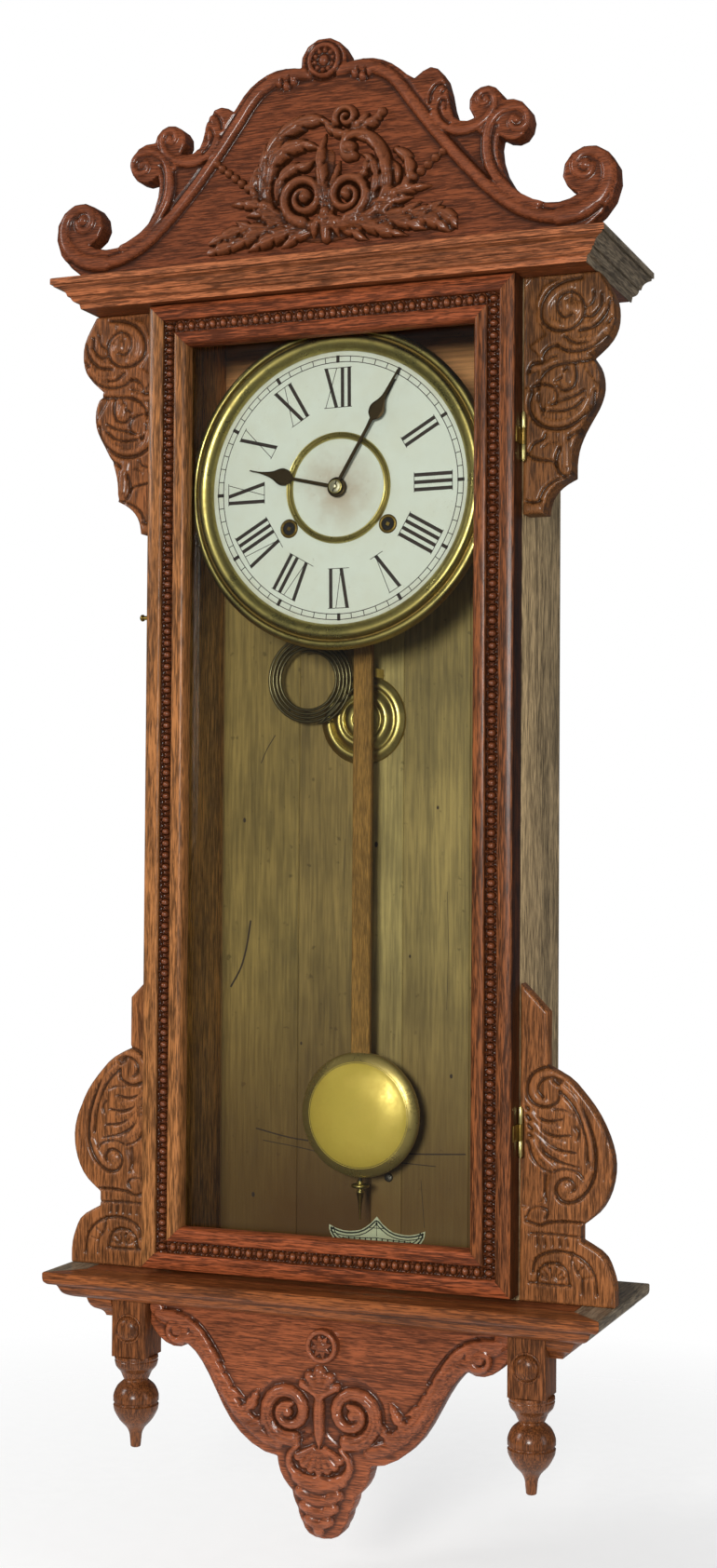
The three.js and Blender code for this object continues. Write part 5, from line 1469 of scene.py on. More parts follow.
def backboard_wood(name, across, shift, tone):
    """Thinly varnished boards, olive brown, with a wavy figure and dark knots."""
    n = Nodes(name)
    along = [1.0, 1.0, 1.0]
    along[across] = 0.12

    def stretched(scale, thin):
        return n.scaled([scale * (thin if share < 1 else 1) for share in along],
                        (shift, 0, shift * 1.6))

    figure = n.noise(stretched(24, 0.13), 1, 4, 0.55, 1.8)
    fine = n.noise(stretched(430, 0.05), 1, 3, 0.6)
    clouds = n.noise(n.here, 11, 4, 0.6)
    specks = n.noise(n.here, 150, 2, 0.5)
    base = np.array(linear(*tone))
    wood = n.ramp(figure, (0.36, base * 0.78), (0.47, base * 0.97), (0.56, base * 1.08),
                  (0.7, base * 0.88))
    wood = n.mix(0.55, wood, n.ramp(fine, (0.38, 0.6), (0.62, 1.36)), "MULTIPLY")
    wood = n.mix(0.6, wood, n.ramp(clouds, (0.36, 0.66), (0.64, 1.26)), "MULTIPLY")
    wood = n.mix(n.span(specks, 0.68, 0.75, 0, 0.5), wood, base * 0.2)
    height = n.add("SeparateXYZ", {"Vector": n.here}).outputs["Z"]
    foot = place([(0, 0, SHELF_TOP)])[0][2]
    # darker towards the bottom, near the shelf, in cloudy patches
    bottom_darkening = n.math("MULTIPLY", n.span(height, foot + 0.24, foot + 0.04, 0, 1.0),
                   n.span(clouds, 0.3, 0.6, 0.8, 1))
    wood = n.mix(bottom_darkening, wood, base * (0.42, 0.28, 0.2))
    return n.finish(wood, n.span(fine, 0.3, 0.7, 0.5, 0.62), 0, n.bump(fine, 0.2, 0.0004), 0.05, 0.3,
                    0.25)


def board_solid(a, b, low, high, low_z, high_z, ease=0.5):
    section = [(a, high), (a, low + ease), (a + ease, low), (b - ease, low), (b, low + ease), (b, high)]
    return prism(section, lambda x, y: (x, y, low_z), lambda x, y: (x, y, high_z))


def backboard():
    """A level board across the top behind the dial, and upright boards edge to edge below it."""
    low, high = box_mm("backboard")
    edges = [low[0], -128.5, -63.0, -1.2, 24.0, 78.0, high[0]]
    top_edge = 52.0
    tones = ((152, 118, 66), (144, 122, 68), (138, 116, 66), (168, 150, 94), (154, 134, 80),
             (144, 124, 72))
    for k, (a, b, tone) in enumerate(zip(edges, edges[1:], tones)):
        material = backboard_wood(f"back_wood_{k + 1}", 2, 0.37 * k, tone)
        plank = board_solid(a + 0.06, b - 0.06, low[1], high[1], low[2], top_edge - 0.1)
        stands_for = "backboard" if k == 0 else ()
        solid_piece(f"backboard_plank_{k + 1}", [plank], material, "case", stands_for, "back_wood", 20)
    # painted light: the level board's tone is raised to make up for the shade of the cornice and the
    # door's top rail over it
    material = backboard_wood("back_wood_level", 0, 3.3, (196, 138, 86))
    level = board_solid(low[0], high[0], low[1], high[1], top_edge, high[2])
    solid_piece("backboard_top_board", [level], material, "case", (), "back_wood", 20)
    marks = []
    lines = (
        ([(-98, -488), (-70, -493.5), (-40, -496.4), (-8, -499.6), (30, -500.6), (76, -498.4)], 1.1),
        ([(-92, -497), (-60, -501), (-34, -505), (4, -507), (52, -509)], 0.7),
        ([(-104, -325), (-107, -344), (-112, -362), (-121, -378)], 1.5),
        ([(-96, -201), (-91, -190), (-84, -179)], 0.7),
        ([(60, -300), (61, -344), (60, -390)], 0.35),
        ([(-24, -260), (-25, -318), (-23, -352)], 0.3),
        ([(40, -520), (43, -556)], 0.4),
    )
    for line, width in lines:
        points = curved(line, steps=4)
        for a, b in zip(points, points[1:]):
            marks.append(bar(*a, *b, width))
    for x, z, radius in ((1.8, -264.5, 1.5), (-72, -160, 1.1), (52, -236, 1.0), (-110, -246, 1.3),
                         (64, -440, 1.2),
                         (-60, -420, 0.9), (30, -350, 0.9), (-100, -540, 1.4)):
        marks.append([(x + radius * math.cos(0.7 * k),
                       z + 1.5 * radius * math.sin(0.7 * k)) for k in range(9)])
    flat_shapes("backboard_marks", marks, low[1] + 0.02, MARKS, "case", "back_wood", 0.05)


# ---------------------------------------------------------------- dial, hands and printing

def flat_shapes(name, polygons, y, material, body="case", slot=None, thick=0.12):
    """Thin printed shapes: each polygon is a list of (x, z), and stands out by thick from y."""
    parts = [prism(polygon, lambda x, z: (x, y, z), lambda x, z: (x, y - thick, z))
             for polygon in polygons]
    return solid_piece(name, parts, material, body, (), slot, 30)


def bar(x0, z0, x1, z1, width0, width1=None):
    """A straight stroke between two points, as a polygon."""
    width1 = width0 if width1 is None else width1
    run = np.array([x1 - x0, z1 - z0], float)
    side = np.array([-run[1], run[0]]) / np.hypot(*run) / 2
    a, b = np.array([x0, z0]), np.array([x1, z1])
    return [tuple(a + side * width0), tuple(a - side * width0), tuple(b - side * width1),
            tuple(b + side * width1)]


def ring_shapes(radius, width, steps=120):
    """Annulus cut into quads."""
    shapes = []
    for k in range(steps):
        a0, a1 = (2 * math.pi * (k + j) / steps for j in (0, 1.02))
        inner, outer = radius - width / 2, radius + width / 2
        shapes.append([(outer * math.cos(a0), outer * math.sin(a0)),
                       (outer * math.cos(a1), outer * math.sin(a1)),
                       (inner * math.cos(a1), inner * math.sin(a1)),
                       (inner * math.cos(a0), inner * math.sin(a0))])
    return shapes


MARKS = plain("board_marks", (52, 36, 20), (74, 54, 30), 0.7, 90, 0.6)
backboard()

NUMERALS = ["XII", "I", "II", "III", "IIII", "V", "VI", "VII", "VIII", "IX", "X", "XI"]
THICK, THIN = 2.7, 0.5
FOOT, HEAD = 60.0, 89.5
PRINT_TURN = 0.6  # degrees; the printing sits this far anticlockwise of upright


def numeral(text):
    """Strokes of a numeral set upright on x, from radius FOOT to HEAD, centred on x = 0."""
    widths = {"I": 5.4, "V": 12.6, "X": 12.6}
    x = -sum(widths[letter] for letter in text) / 2
    shapes = []
    left_end = x + 0.6
    for letter in text:
        wide = widths[letter]
        mid = x + wide / 2
        if letter == "I":
            shapes.append(bar(mid, FOOT, mid, HEAD, THICK))
        if letter == "V":
            shapes.append(bar(x + 2.2, HEAD, mid + 0.6, FOOT, THICK))
            shapes.append(bar(x + wide - 1.4, HEAD, mid + 0.9, FOOT, THIN))
        if letter == "X":
            shapes.append(bar(x + 2.2, HEAD, x + wide - 2.2, FOOT, THICK))
            shapes.append(bar(x + wide - 1.8, HEAD, x + 1.8, FOOT, THIN))
        x += wide
    shapes.append(bar(left_end, HEAD, x - 0.6, HEAD, THIN))
    shapes.append(bar(left_end, FOOT, x - 0.6, FOOT, THIN))
    return shapes


def turned_about_centre(shapes, degrees):
    """Shapes turned clockwise about the dial's centre."""
    angle = -math.radians(degrees)
    c, s = math.cos(angle), math.sin(angle)
    return [[(x * c - z * s, x * s + z * c) for x, z in shape] for shape in shapes]


def dial():
    """The face, a full disc without holes, and what is printed on it."""
    face = box_mm("dial")[0][1]
    profile = [(0, -1.2), (103.9, -1.2), (103.9, -0.2), (103.6, 0), (0, 0)]
    solid_piece("dial_face", [facing(profile, 0, face, 0, 128)], dial_enamel(), "case", "dial",
                "enamel", 30)
    shapes = []
    for k, text in enumerate(NUMERALS):
        shapes += turned_about_centre(numeral(text), 30 * k - PRINT_TURN)
    for radius in (93.9, 98.1):
        shapes += ring_shapes(radius, 0.6)
    for minute in range(60):
        stroke = bar(0, 94, 0, 98, 0.6) if minute % 5 else bar(0, 93.4, 0, 98.8, 2.6)
        shapes += turned_about_centre([stroke], 6 * minute - PRINT_TURN)
    flat_shapes("dial_printing", shapes, face + 0.02, INK, "case", "enamel", 0.1)


def dial_enamel():
    """Off-white painted metal, stained tan where fingers reach the hands and the winding holes."""
    n = Nodes("enamel_dial_worn")
    middle_m = Vector(place([(0, 0, 0)])[0])
    away = n.add("VectorMath", {0: n.here, 1: tuple(middle_m)}, operation="DISTANCE").outputs["Value"]
    clouds = n.noise(n.here, 38, 4, 0.65)
    specks = n.noise(n.here, 380, 2, 0.6)
    near = n.span(away, 0.036, 0.004, 0.0, 0.75)
    stain = n.math("MULTIPLY", near, n.span(clouds, 0.36, 0.6, 0.3, 1))
    rim = n.math("MULTIPLY", n.span(away, 0.094, 0.103, 0, 0.4), n.span(clouds, 0.35, 0.65, 0.3, 1))
    color = n.mix(n.span(clouds, 0.42, 0.72, 0, 0.35), linear(230, 236, 228), linear(214, 212, 192))
    color = n.mix(stain, color, linear(176, 142, 110))
    color = n.mix(rim, color, linear(176, 160, 120))
    color = n.mix(n.span(specks, 0.68, 0.76, 0, 0.35), color, linear(150, 130, 100))
    return n.finish(color, n.span(clouds, 0.3, 0.7, 0.3, 0.42), 0, n.bump(clouds, 0.08, 0.0006), 0.35,
                    0.15)


def bezel():
    """The rounded ring, the sunk line and the outer flange, closed on itself."""
    radius = box_mm("dial_bezel")[1][0]
    profile = rounded_profile([
        (101.7, -6.4), (101.7, -4.8), (101.7, -4.8), (103.0, -2.6), (105.4, -0.6), (108.0, 0.35),
        (110.6, 0.1),
        (112.2, -1.4), (113.0, -4.6), (113.0, -4.6), (113.3, -5.4), (114.1, -5.4), (114.1, -5.4),
        (114.6, -3.6), (115.6, -2.7), (117.4, -2.7), (119.0, -3.6), (radius, -5.2), (radius, -5.2),
        (radius, -8.4), (105, -8.4), (104.6, -6.4),
    ], 5)
    solid_piece("dial_bezel_spun", [facing(profile, 0, 0, 0, 144, True)], BRASS_BEZEL, "case",
                "dial_bezel", "brass")
    line = facing([(112.9, -5.5), (114.3, -5.5), (114.3, -5.1), (112.9, -5.1)], 0, 0, 0, 144, True)
    solid_piece("dial_bezel_line", [line], BRASS_DARK, "case", (), "brass")


def centre_ring():
    """The raised brass ring round the middle of the dial."""
    radius = box_mm("centre_ring")[1][0]
    profile = rounded_profile([
        (36.4, -6.75), (36.6, -5.6), (37.4, -4.4), (38.6, -4.9), (39.0, -5.2), (39.6, -4.9),
        (40.6, -4.3),
        (41.4, -5.4), (radius, -6.75), (radius, -6.75), (39, -6.75),
    ], 4)
    solid_piece("centre_ring_spun", [facing(profile, 0, 0, 0, 120, True)], BRASS_BEZEL, "case",
                "centre_ring", "brass")


def grommets():
    """The brass sleeve of each winding hole, with a dark disc of painted shadow for the hole and a
    small square inside it. They lie on the dial face and ride the case, so the square doesn't turn with
    the winding arbor."""
    face = box_mm("dial")[0][1]
    for side, node in (("right", "time_wheel"), ("left", "strike_wheel")):
        centre = middle(node) * 1000 - Vector((CENTRE_X, CASE_FRONT, CENTRE_Z))
        ring = facing(rounded_profile([
            (4.6, -1.0), (4.6, 0.2), (4.6, 0.2), (5.2, 0.9), (6.2, 0.9), (7.1, 0.1), (7.1, 0.1),
            (7.1, -1.0),
        ]), centre.x, face, centre.z, 48, True)
        solid_piece(f"grommet_{side}", [ring], BRASS_DARK, "case", (), "brass")
        well = facing([(0, 0.02), (4.7, 0.02), (4.7, 0.12), (0, 0.12)], centre.x, face, centre.z, 40)
        solid_piece(f"winding_well_{side}", [well], SHADOW_FILL, "case", (), "steel")
        x, z, half = centre.x, centre.z, 1.7
        square = [(x - half, z - half * 0.3), (x - half * 0.3, z + half), (x + half, z + half * 0.3),
                  (x + half * 0.3, z - half)]
        stud = prism(square, lambda a, b: (a, face, b), lambda a, b: (a, face - 0.5, b))
        solid_piece(f"winding_square_{side}", [stud], BRASS_DARK, "case", (), "brass", 30)


def spade(spec):
    """Outline of a spade hand that points up."""
    stem, at, half, length, tip, hub = spec
    right = [(stem, hub * 0.8), (stem * 0.92, at - half * 1.9), (stem, at - half * 1.3),
             (half * 0.8, at - half * 0.72), (half, at), (half * 0.9, at + half * 0.55),
             (half * 0.5, at + half * 1.3), (half * 0.26, at + half * 2.1),
             (tip * 1.4, at + (length - at) * 0.72),
             (tip, length)]
    line = curved(right, steps=6)
    return [tuple(p) for p in line] + [(-x, z) for x, z in line[::-1]]


def hand(name, node, body, spec, degrees):
    """A blued steel hand, its face eased along the edges, with its hub, which has no bore."""
    front = box_mm(node)[0][1]
    rear = front + 0.8
    shape = np.array(spade(spec))
    mean_z = shape[:, 1].mean()
    inner = shape.copy()
    inner[:, 0] *= 0.72
    inner[:, 1] = mean_z + (shape[:, 1] - mean_z) * 0.99
    count = len(shape)
    layers = [(shape, rear), (shape, front + 0.3), (inner, front)]
    vertices = np.vstack([np.column_stack([s[:, 0], np.full(count, y), s[:, 1]]) for s, y in layers])
    faces = [list(range(count)), list(range(2 * count, 3 * count))[::-1]]
    for layer in range(2):
        base = layer * count
        faces += [[base + i, base + (i + 1) % count, base + count + (i + 1) % count, base + count + i]
                  for i in range(count)]
    blade = (vertices, outward(place(vertices), faces))
    radius = spec[5]
    hub = facing(rounded_profile([
        (0, -0.9), (radius, -0.9), (radius, -0.9), (radius, -0.3), (radius * 0.86, 0.1),
        (radius * 0.6, 0.2), (0, 0.2),
    ]), 0, front, 0, 48)
    vertices, faces = merged(blade, (hub[0], outward(place(hub[0]), hub[1])))
    angle = -math.radians(degrees)
    x, z = vertices[:, 0].copy(), vertices[:, 2].copy()
    vertices[:, 0] = x * math.cos(angle) - z * math.sin(angle)
    vertices[:, 2] = x * math.sin(angle) + z * math.cos(angle)
    mesh_piece(name, vertices, faces, BLUED, body, node, "blued_steel", 30)


# painted shadow: a near-black fill for the winding holes and the slots of the nut and the screws
SHADOW_FILL = plain("well_shadow", (28, 24, 20), (12, 10, 8), 0.8, 80, 0.5)
dial()
bezel()
centre_ring()
grommets()
HOUR = (1.35, 44.6, 6.4, 72.6, 0.45, 7.4)
MINUTE = (1.35, 63.4, 6.0, 96.6, 0.7, 5.2)
hand("hour_hand_blued", "hour_hand", "hour", HOUR, 282.9)
hand("minute_hand_blued", "minute_hand", "minute", MINUTE, 30.4)


def hand_nut():
    """The slotted brass nut that holds the hands on, over a thin washer."""
    front = box_mm("minute_hand")[0][1]
    arbor = polished("centre_arbor", BRASS, 0.12)
    for vertex in arbor.data.vertices:
        y = vertex.co.y * 1000 - CASE_FRONT
        if y < front:
            vertex.co.y = (CASE_FRONT + front - 0.3 * (front - y)) / 1000
    nut = facing(rounded_profile([
        (0, 0.1), (4.4, 0.1), (4.4, 0.1), (4.6, 0.8), (4.2, 1.3), (4.2, 1.3), (2.2, 1.5), (1.8, 1.3),
        (1.8, 1.3), (1.7, 2.9), (1.2, 3.3), (0, 3.4),
    ]), 0, front, 0, 40)
    solid_piece("hand_nut", [nut], NUT, "minute", (), "brass", 30)
    # the slot is a thin strip of painted shadow
    cut = prism([(-4.3, -0.4), (4.3, -0.4), (4.3, 0.4), (-4.3, 0.4)],
                lambda a, b: (a * 0.35 - b * 0.94, front - 1.25, a * 0.94 + b * 0.35),
                lambda a, b: (a * 0.35 - b * 0.94, front - 1.55, a * 0.94 + b * 0.35))
    solid_piece("hand_nut_slot", [cut], SHADOW_FILL, "minute", (), "steel", 30)


hand_nut()


# ---------------------------------------------------------------- round wire and small parts

def tube(points, radius, sides=10):
    """A round bar along a smooth line of points, with flat ends."""
    line = np.array(points, float)
    count = len(line)
    run = np.gradient(line, axis=0)
    run /= np.linalg.norm(run, axis=1)[:, None]
    side = np.cross(run, (0, 1, 0))
    side /= np.linalg.norm(side, axis=1)[:, None]
    lift = np.cross(side, run)
    vertices = []
    for k in range(count):
        for s in range(sides):
            angle = 2 * math.pi * s / sides
            vertices.append(line[k] + radius * (math.cos(angle) * side[k] + math.sin(angle) * lift[k]))
    faces = [[k * sides + s, k * sides + (s + 1) % sides, (k + 1) * sides + (s + 1) % sides,
              (k + 1) * sides + s]
             for k in range(count - 1) for s in range(sides)]
    faces += [list(range(sides))[::-1], [(count - 1) * sides + s for s in range(sides)]]
    return np.array(vertices), faces


def slab(x0, x1, y0, y1, z0, z1, ease=0.4):
    """An upright bar with its four long corners eased."""
    section = [
        (x0 + ease, y0), (x1 - ease, y0), (x1, y0 + ease), (x1, y1 - ease),
        (x1 - ease, y1), (x0 + ease, y1), (x0, y1 - ease), (x0, y0 + ease),
    ]
    return prism(section, lambda x, y: (x, y, z0), lambda x, y: (x, y, z1))


# ---------------------------------------------------------------- the gong

BOARD_FRONT = box_mm("backboard")[0][1]


def gong():
    """The spun base with its arm and lug, the coil of wire, and the screw."""
    low, high = box_mm("gong_base")
    radius = 34.8
    x, z = low[0] + radius, low[2] + radius
    dish = facing(rounded_profile([
        (0, 0), (34.8, 0), (34.8, 0), (34.8, 1.3), (34.3, 2.1), (34.3, 2.1), (32.6, 3.2), (30.8, 4.3),
        (28.9, 4.8),
        (27.2, 4.4), (26.2, 3.3), (26.2, 3.3), (24.8, 3.9), (22.2, 5.8), (20, 6.9), (18, 6.7),
        (16.6, 5.5),
        (16.6, 5.5), (15.4, 5.2), (13.4, 6.6), (10.8, 7.7), (7.8, 7.9), (6.6, 7.3), (6.6, 7.3),
        (5.6, 8.3),
        (3.2, 8.8), (0, 8.8),
    ], 5), x, BOARD_FRONT, z, 96)
    arm = slab(-4, 4, BOARD_FRONT - 2.6, BOARD_FRONT, 0, 38, 0.5)
    turn = math.radians(20)
    points = arm[0].copy()
    arm_x, arm_z = points[:, 0].copy(), points[:, 2].copy()
    points[:, 0] = x + arm_x * math.cos(turn) + arm_z * math.sin(turn)
    points[:, 2] = z - arm_x * math.sin(turn) + arm_z * math.cos(turn)
    lug = slab(0.6, 7.4, low[1], BOARD_FRONT, -136.4, -129.6, 0.6)
    solid_piece("gong_base_spun", [dish, (points, arm[1]), lug], BRASS, "case", "gong_base", "brass",
                24)
    coil_low, coil_high = box_mm("gong_coil")
    middle_x, middle_y, middle_z = -50.0, (coil_low[1] + coil_high[1]) / 2, -137.0
    turns, inner, pitch, steps = 4.5, 22.0, 3.0, 220
    wire = []
    for k in range(steps + 1):
        share = k / steps
        angle = math.pi * 0.58 - 2 * math.pi * turns * share
        reach = inner + pitch * turns * share
        wire.append((middle_x + reach * math.cos(angle), middle_y, middle_z + reach * math.sin(angle)))
    last, end = np.array(wire[-1]), np.array([middle_x + 49.4, middle_y, middle_z + 4])
    wire += [tuple(last + (end - last) * s / 8) for s in range(1, 9)]
    solid_piece("gong_coil_wire", [tube(wire, 1.15)], BLUED_COIL, "case", "gong_coil", "blued_steel",
                60)
    screw = facing(rounded_profile([(0, -0.4), (3.4, -0.4), (3.4, -0.4), (3.2, 0.5), (2, 1.2),
                                    (0, 1.4)]),
                   x, BOARD_FRONT - 8.6, z, 32)
    solid_piece("gong_centre_screw", [screw], STEEL, "case", (), "steel")


BLUED_COIL = metal("steel_coil", (112, 104, 76), (60, 50, 34), 0.3, 0.6, shift=7)
gong()


# ---------------------------------------------------------------- the pendulum

STICK_FRONT, STICK_REAR = 58.0, 63.0
PENDULUM_MID = (STICK_FRONT + STICK_REAR) / 2


def pendulum():
    """The wooden stick, the suspension spring and hook above it, and the threaded rod below."""
    low, high = box_mm("pendulum_stick")
    mid = PENDULUM_MID
    stick = slab(-7.5, 7.5, STICK_FRONT, STICK_REAR, -516, 30, 0.7)
    solid_piece("pendulum_stick_wood", [stick], OAK_STICK, "pendulum", "pendulum_stick", "oak_gold", 30)
    hook = slab(-3, 3, mid - 1, mid + 1, 28, 66, 0.3)
    spring = slab(-4, 4, mid - 0.3, mid + 0.3, 62, high[2], 0.1)
    solid_piece("pendulum_hook", [hook, spring], STEEL, "pendulum", (), "steel", 30)
    rod = [(0, low[2])]
    for k in range(14):
        z = low[2] + 0.3 + 0.6 * k
        rod += [(1.15, z), (1.4, z + 0.3)]
    rod += [(1.4, -515.0), (0, -515.0)]
    solid_piece("pendulum_rod_thread", [standing(rod, 0, mid, 24)], STEEL, "pendulum", (), "steel", 30)


def bob():
    """The domed brass face, the rolled rim round it, and the back shell."""
    low, high = box_mm("pendulum_bob")
    x, z = (low[0] + high[0]) / 2, (low[2] + high[2]) / 2
    radius = (high[0] - low[0]) / 2
    mid = PENDULUM_MID
    face = facing(rounded_profile([
        (0, -1.4), (radius - 7, -1.4), (radius - 7, -1.4), (radius - 7, 5.2), (radius - 8, 6.0),
        (radius - 12, 7.7), (radius - 19, 9.8), (20, 11.3), (10, 11.9), (0, 12),
    ], 7), x, mid, z, 144)
    solid_piece("pendulum_bob_face", [face], BRASS_BOB, "pendulum", "pendulum_bob", "brass", 40)
    rim = facing(rounded_profile([
        (radius - 3.4, -1.4), (radius - 0.5, -1.4), (radius - 0.5, -1.4), (radius, -0.6), (radius, 1.6),
        (radius - 0.7, 2.7), (radius - 2.4, 3.8), (radius - 5.0, 5.0), (radius - 8.2, 6.1),
        (radius - 8.2, 6.1), (radius - 8.0, 5.0), (radius - 5.4, 1),
    ], 5), x, mid, z, 144, True)
    solid_piece("pendulum_bob_rim", [rim], BRASS_RIM, "pendulum", (), "brass", 40)
    shell = facing(rounded_profile([
        (8.3, -8.6), (30, -7.6), (40, -5.6), (radius - 0.8, -1.5), (radius - 0.8, -1.5), (8.3, -1.5),
    ], 5), x, mid, z, 96, True)
    solid_piece("pendulum_bob_back", [shell], BRASS_DARK, "pendulum", (), "brass", 40)


def rating_nut():
    """The nut, a ring that clears the pendulum's rod, and the pointer below it."""
    low, high = box_mm("rating_nut")
    top = high[2]
    bore = 1.55
    nut = standing(rounded_profile([
        (bore, top - 9.6), (bore, top - 9.6), (2.2, top - 9.6), (2.2, top - 9.6), (2.9, top - 8.8),
        (2.8, top - 7.6), (2.0, top - 7),
        (2.0, top - 5.7), (2.0, top - 5.7), (5.6, top - 5.2), (6.8, top - 4.4), (7, top - 3.6),
        (6.8, top - 2.9),
        (5.6, top - 2.4), (5.6, top - 2.4), (2.6, top - 2.0), (2.6, top - 2.0), (2.6, top), (2.6, top),
        (bore, top),
    ], 5), 0, PENDULUM_MID, 48, True)
    solid_piece("rating_nut_turned", [nut], BRASS, "rating", "rating_nut", "brass", 34)
    pointer = standing(rounded_profile([
        (0, low[2]), (0.5, low[2] + 0.2), (0.5, low[2] + 0.2), (0.9, low[2] + 7), (1.5, top - 17),
        (2.4, top - 11.6), (2.9, top - 9.4), (2.9, top - 9.4), (0, top - 9.4),
    ], 5), 0, PENDULUM_MID, 40)
    solid_piece("rating_nut_pointer", [pointer], BRASS_DARK, "rating", (), "brass", 34)


pendulum()
bob()
rating_nut()


# ---------------------------------------------------------------- the beat scale

def beat_scale():
    """The card below the bob: its crown-shaped plate, and the border and strokes printed on it."""
    front = BOARD_FRONT - 0.8
    upper = [(4.4, -550), (8.6, -555), (13, -558.4), (17.4, -561), (22, -562), (27, -562.6),
             (32, -562.4),
             (38, -561), (44, -558.6)]
    right = [(43.6, -562), (42.6, -565), (40.6, -568), (38, -570.4), (33.4, -572.8), (28, -574.4)]
    centre = 4.4
    lower = [(16, -575.5), (4.4, -576)]
    half = upper + right + lower[:1]
    outline = half + [lower[1]] + [(2 * centre - x - 0.2, z) for x, z in half[::-1]][:-1]
    outline = [(max(x, -35), z) for x, z in outline]
    plate = prism(outline, lambda x, z: (x, front + 0.8, z), lambda x, z: (x, front, z))
    solid_piece("beat_scale_plate", [plate], CARD, "case", "beat_scale", "card", 30)
    marks = []
    middle_z = sum(z for _, z in outline) / len(outline)
    for inset, width in ((1.5, 1.3), (3.9, 0.8)):
        line = []
        for (xa, za), (xb, zb) in zip(outline, outline[1:] + outline[:1]):
            run = np.array([xb - xa, zb - za])
            normal = np.array([run[1], -run[0]]) / max(np.hypot(*run), 1e-6)
            line.append(np.array([(xa + xb) / 2, (za + zb) / 2]) + normal * inset)
        for a, b in zip(line, line[1:] + line[:1]):
            if np.hypot(*(b - a)) > 0.2:
                marks.append(bar(*a, *b, width))
    for k in range(-6, 7):
        x = centre + 4.6 * k
        top = -566.4 - 0.02 * k * k
        marks.append(bar(x, top, x * 0.98, top - (4.4 if k % 2 else 6.2), 1.1))
    marks.append(bar(centre - 29, -568.2, centre, -566.2, 0.55))
    marks.append(bar(centre, -566.2, centre + 29, -568.2, 0.55))
    marks.append(bar(centre - 6, -558.8, centre + 6, -558.8, 0.55))
    marks.append(bar(centre, -552.5, centre, -565, 0.4))
    flat_shapes("beat_scale_printing", marks, front + 0.06, INK_GREEN, "case", "card", 0.12)


INK_GREEN = plain("printed_ink_faded", (34, 38, 26), (60, 60, 42), 0.5, 60, 0.5)
beat_scale()


# ---------------------------------------------------------------- the movement and the hardware

for node in ("front_plate", "back_plate", "suspension_cock"):
    polished(node, BRASS, 0.25)
for node in ("time_wheel", "strike_wheel", "escape_wheel"):
    polished(node, BRASS, 0.12)
for node in ("time_mainspring", "strike_mainspring", "seat_bracket", "verge", "hanger_plate"):
    polished(node, STEEL, 0.15)
polished("hammer", BLUED, 0.2)
for level in ("upper", "lower"):
    polished(f"hinge_{level}_case_leaf", HINGE, 0.2)
    polished(f"hinge_{level}_door_leaf", BRASS_DARK, 0.2)
for node in ("latch_hook", "latch_pin"):
    polished(node, BRASS_DARK, 0.25)


def screw_head(name, x, y, z, radius, rise, material=STEEL, body="case"):
    """A domed, slotted screw head that faces forward."""
    profile = rounded_profile([
        (0, -0.5), (radius, -0.5), (radius, -0.5), (radius, 0.15), (radius * 0.8, rise * 0.72),
        (0, rise),
    ])
    head = facing(profile, x, y, z, 32)
    # the slot is a thin strip of painted shadow
    slot_cut = prism([(-radius * 0.8, -0.22), (radius * 0.8, -0.22), (radius * 0.8, 0.22),
                      (-radius * 0.8, 0.22)],
                     lambda a, b: (x + a * 0.8 - b * 0.6, y - rise + 0.25, z + a * 0.6 + b * 0.8),
                     lambda a, b: (x + a * 0.8 - b * 0.6, y - rise - 0.05, z + a * 0.6 + b * 0.8))
    solid_piece(name, [head], material, body, (), "steel")
    solid_piece(name + "_slot", [slot_cut], SHADOW_FILL, body, (), "steel")


screw_head("backboard_screw", 13.8, BOARD_FRONT, -519.7, 3.4, 2.0)
screw_head("bezel_screw", -116.0, 6.4, 30.0, 1.9, 1.2, BRASS_DARK)
screw_head("dial_screw_left", -113.4, 6.4, -38.0, 1.7, 1.0, BRASS_DARK)
screw_head("dial_screw_right", 113.4, 6.4, -38.0, 1.7, 1.0, BRASS_DARK)


# ---------------------------------------------------------------- the room

def floor_material():
    """Pale, and clear towards its edge, so the floor fades into the background."""
    n = Nodes("studio_floor")
    here = n.add("TexCoord").outputs["Object"]
    away = n.add("VectorMath", {0: here}, operation="LENGTH").outputs["Value"]
    speck = n.noise(here, 60, 3)
    clear = n.add("BsdfTransparent")
    cover = n.add("MixShader", {"Fac": n.span(away, 0.15, 0.95, 0, 1)})
    n.finish(n.ramp(speck, (0.3, 0.94), (0.7, 0.97)), 0.9)
    n.shader.inputs["Emission Color"].default_value = (1, 1, 1, 1)
    n.shader.inputs["Emission Strength"].default_value = 0.35
    n.tree.links.new(n.shader.outputs[0], cover.inputs[1])
    n.tree.links.new(clear.outputs[0], cover.inputs[2])
    n.tree.links.new(cover.outputs[0], n.tree.nodes["Material Output"].inputs["Surface"])
    return n.material


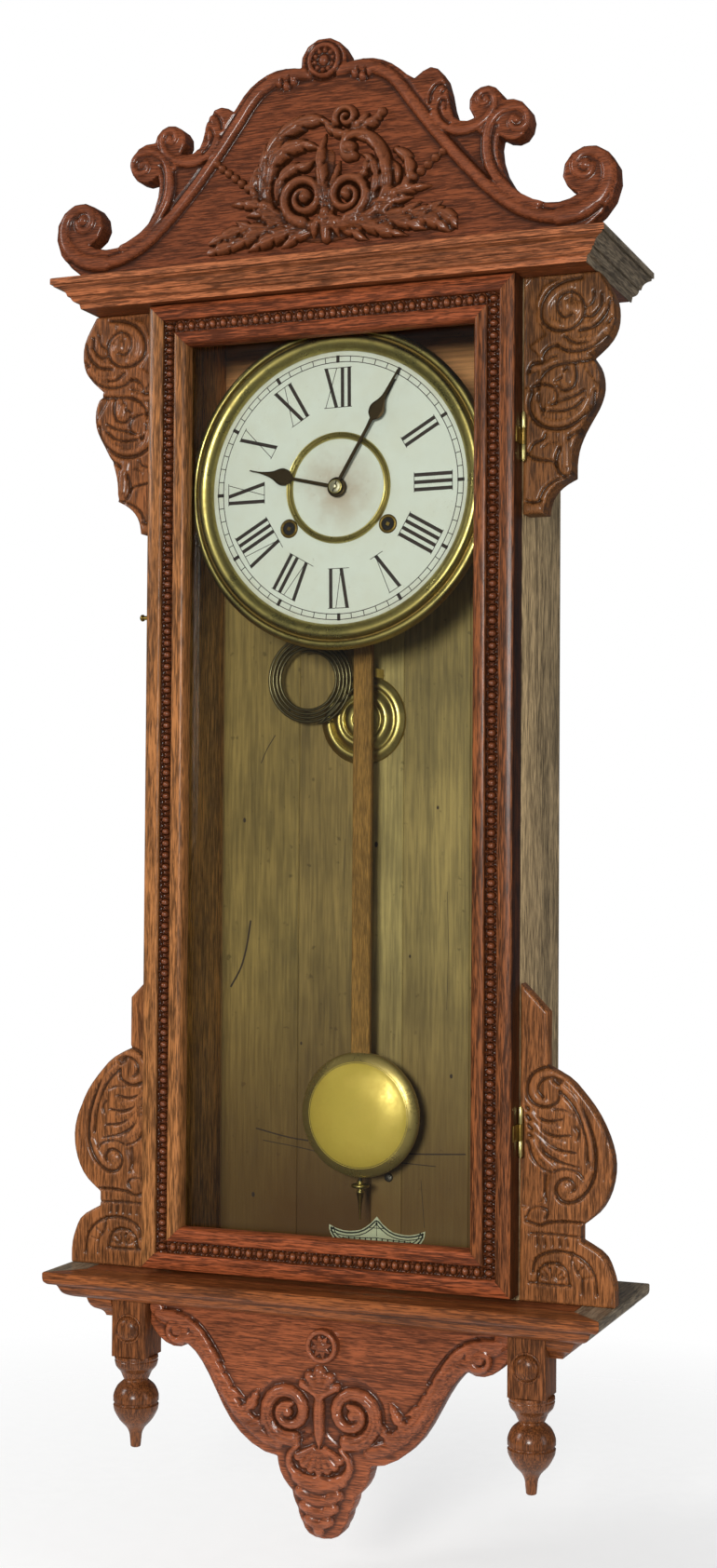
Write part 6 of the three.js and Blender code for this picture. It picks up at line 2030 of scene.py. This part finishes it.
def room():
    """The floor, the light of the surroundings, and the three lamps."""
    low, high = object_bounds()
    points = [(0, 0, 0)]
    for k in range(FLOOR_SIDES):
        angle = 2 * math.pi * k / FLOOR_SIDES
        points.append((FLOOR_RADIUS * math.cos(angle), FLOOR_RADIUS * math.sin(angle), 0))
    mesh = bpy.data.meshes.new("floor")
    mesh.from_pydata(points, [], [[0, k + 1, (k + 1) % FLOOR_SIDES + 1] for k in range(FLOOR_SIDES)])
    floor = bpy.data.objects.new("floor", mesh)
    mesh.materials.append(floor_material())
    bpy.context.scene.collection.objects.link(floor)
    floor.location = ((low.x + high.x) / 2, (low.y + high.y) / 2, low.z - FLOOR_DROP)

    world = bpy.data.worlds.new("studio")
    bpy.context.scene.world = world
    world.use_nodes = True
    tree = world.node_tree
    tree.nodes.clear()
    rays = tree.nodes.new("ShaderNodeLightPath")

    def sky(color, strength):
        node = tree.nodes.new("ShaderNodeBackground")
        node.inputs[0].default_value = color
        node.inputs[1].default_value = strength
        return node

    def either(question, no, yes):
        node = tree.nodes.new("ShaderNodeMixShader")
        for socket, source in zip(node.inputs, (rays.outputs[question], no, yes)):
            tree.links.new(source, socket)
        return node.outputs[0]

    seen, lit, shine = (sky(*each).outputs[0] for each in (
        ((1, 1, 1, 1), 1.0), (SKY_TINT, WORLD_LIGHT), (SKY_TINT, WORLD_SHINE)))
    both = either("Is Camera Ray", either("Is Glossy Ray", lit, shine), seen)
    tree.links.new(both, tree.nodes.new("ShaderNodeOutputWorld").inputs[0])

    centre = (low + high) / 2
    # the lamps light everything but the glass, so no view shows a lamp mirrored in front of the dial
    unlit = bpy.data.collections.new("unlit_glass")
    unlit.objects.link(NODES["door_glass"])
    unlit.collection_objects[0].light_linking.link_state = "EXCLUDE"
    for name, offset, size, power, color in LAMPS:
        lamp = bpy.data.lights.new(name, "AREA")
        lamp.shape = "RECTANGLE"
        lamp.size, lamp.size_y = size
        lamp.energy = power
        lamp.color = color
        holder = bpy.data.objects.new(name, lamp)
        bpy.context.scene.collection.objects.link(holder)
        holder.location = centre + Vector(offset)
        holder.rotation_euler = (-Vector(offset)).to_track_quat("-Z", "Y").to_euler()
        holder.visible_camera = False
        holder.light_linking.receiver_collection = unlit


def camera():
    """The camera at the photo's place, fitted to the straight edges of the case."""
    forward = Vector((-math.sin(YAW) * math.cos(PITCH), math.cos(YAW) * math.cos(PITCH),
                      math.sin(PITCH)))
    level = Vector((math.cos(YAW), math.sin(YAW), 0))
    rise = level.cross(forward)
    across = math.cos(ROLL) * level + math.sin(ROLL) * rise
    up = math.cos(ROLL) * rise - math.sin(ROLL) * level
    data = bpy.data.cameras.new("camera")
    data.lens, data.sensor_width = LENS, 36
    data.dof.use_dof = False
    holder = bpy.data.objects.new("camera", data)
    bpy.context.scene.collection.objects.link(holder)
    axes = Matrix((across, up, -forward)).transposed()
    holder.matrix_world = Matrix.Translation(EYE) @ axes.to_4x4()
    bpy.context.scene.camera = holder


LENS = 49.93
WORLD_LIGHT = 0.26
WORLD_SHINE = 0.12
SKY_TINT = (0.97, 0.98, 1, 1)
FLOOR_RADIUS, FLOOR_DROP, FLOOR_SIDES = 1.4, 0.06, 96
EYE = (0.607678, -1.578049, -0.439058)
YAW, PITCH, ROLL = 0.3775, 0.0269, 0.0065
LAMPS = (
    ("key", (0.35, -2.7, 0.3), (0.55, 0.55), 54, (1, 0.985, 0.95)),
    ("left", (-2.3, -1.7, 1.2), (0.6, 1.1), 33, (1, 0.99, 0.97)),
    ("right", (2.6, -0.5, 0.2), (0.8, 1.6), 12, (0.92, 0.97, 1)),
)
room()
camera()
bpy.context.scene.view_settings.view_transform = "Standard"
bpy.context.view_layer.update()
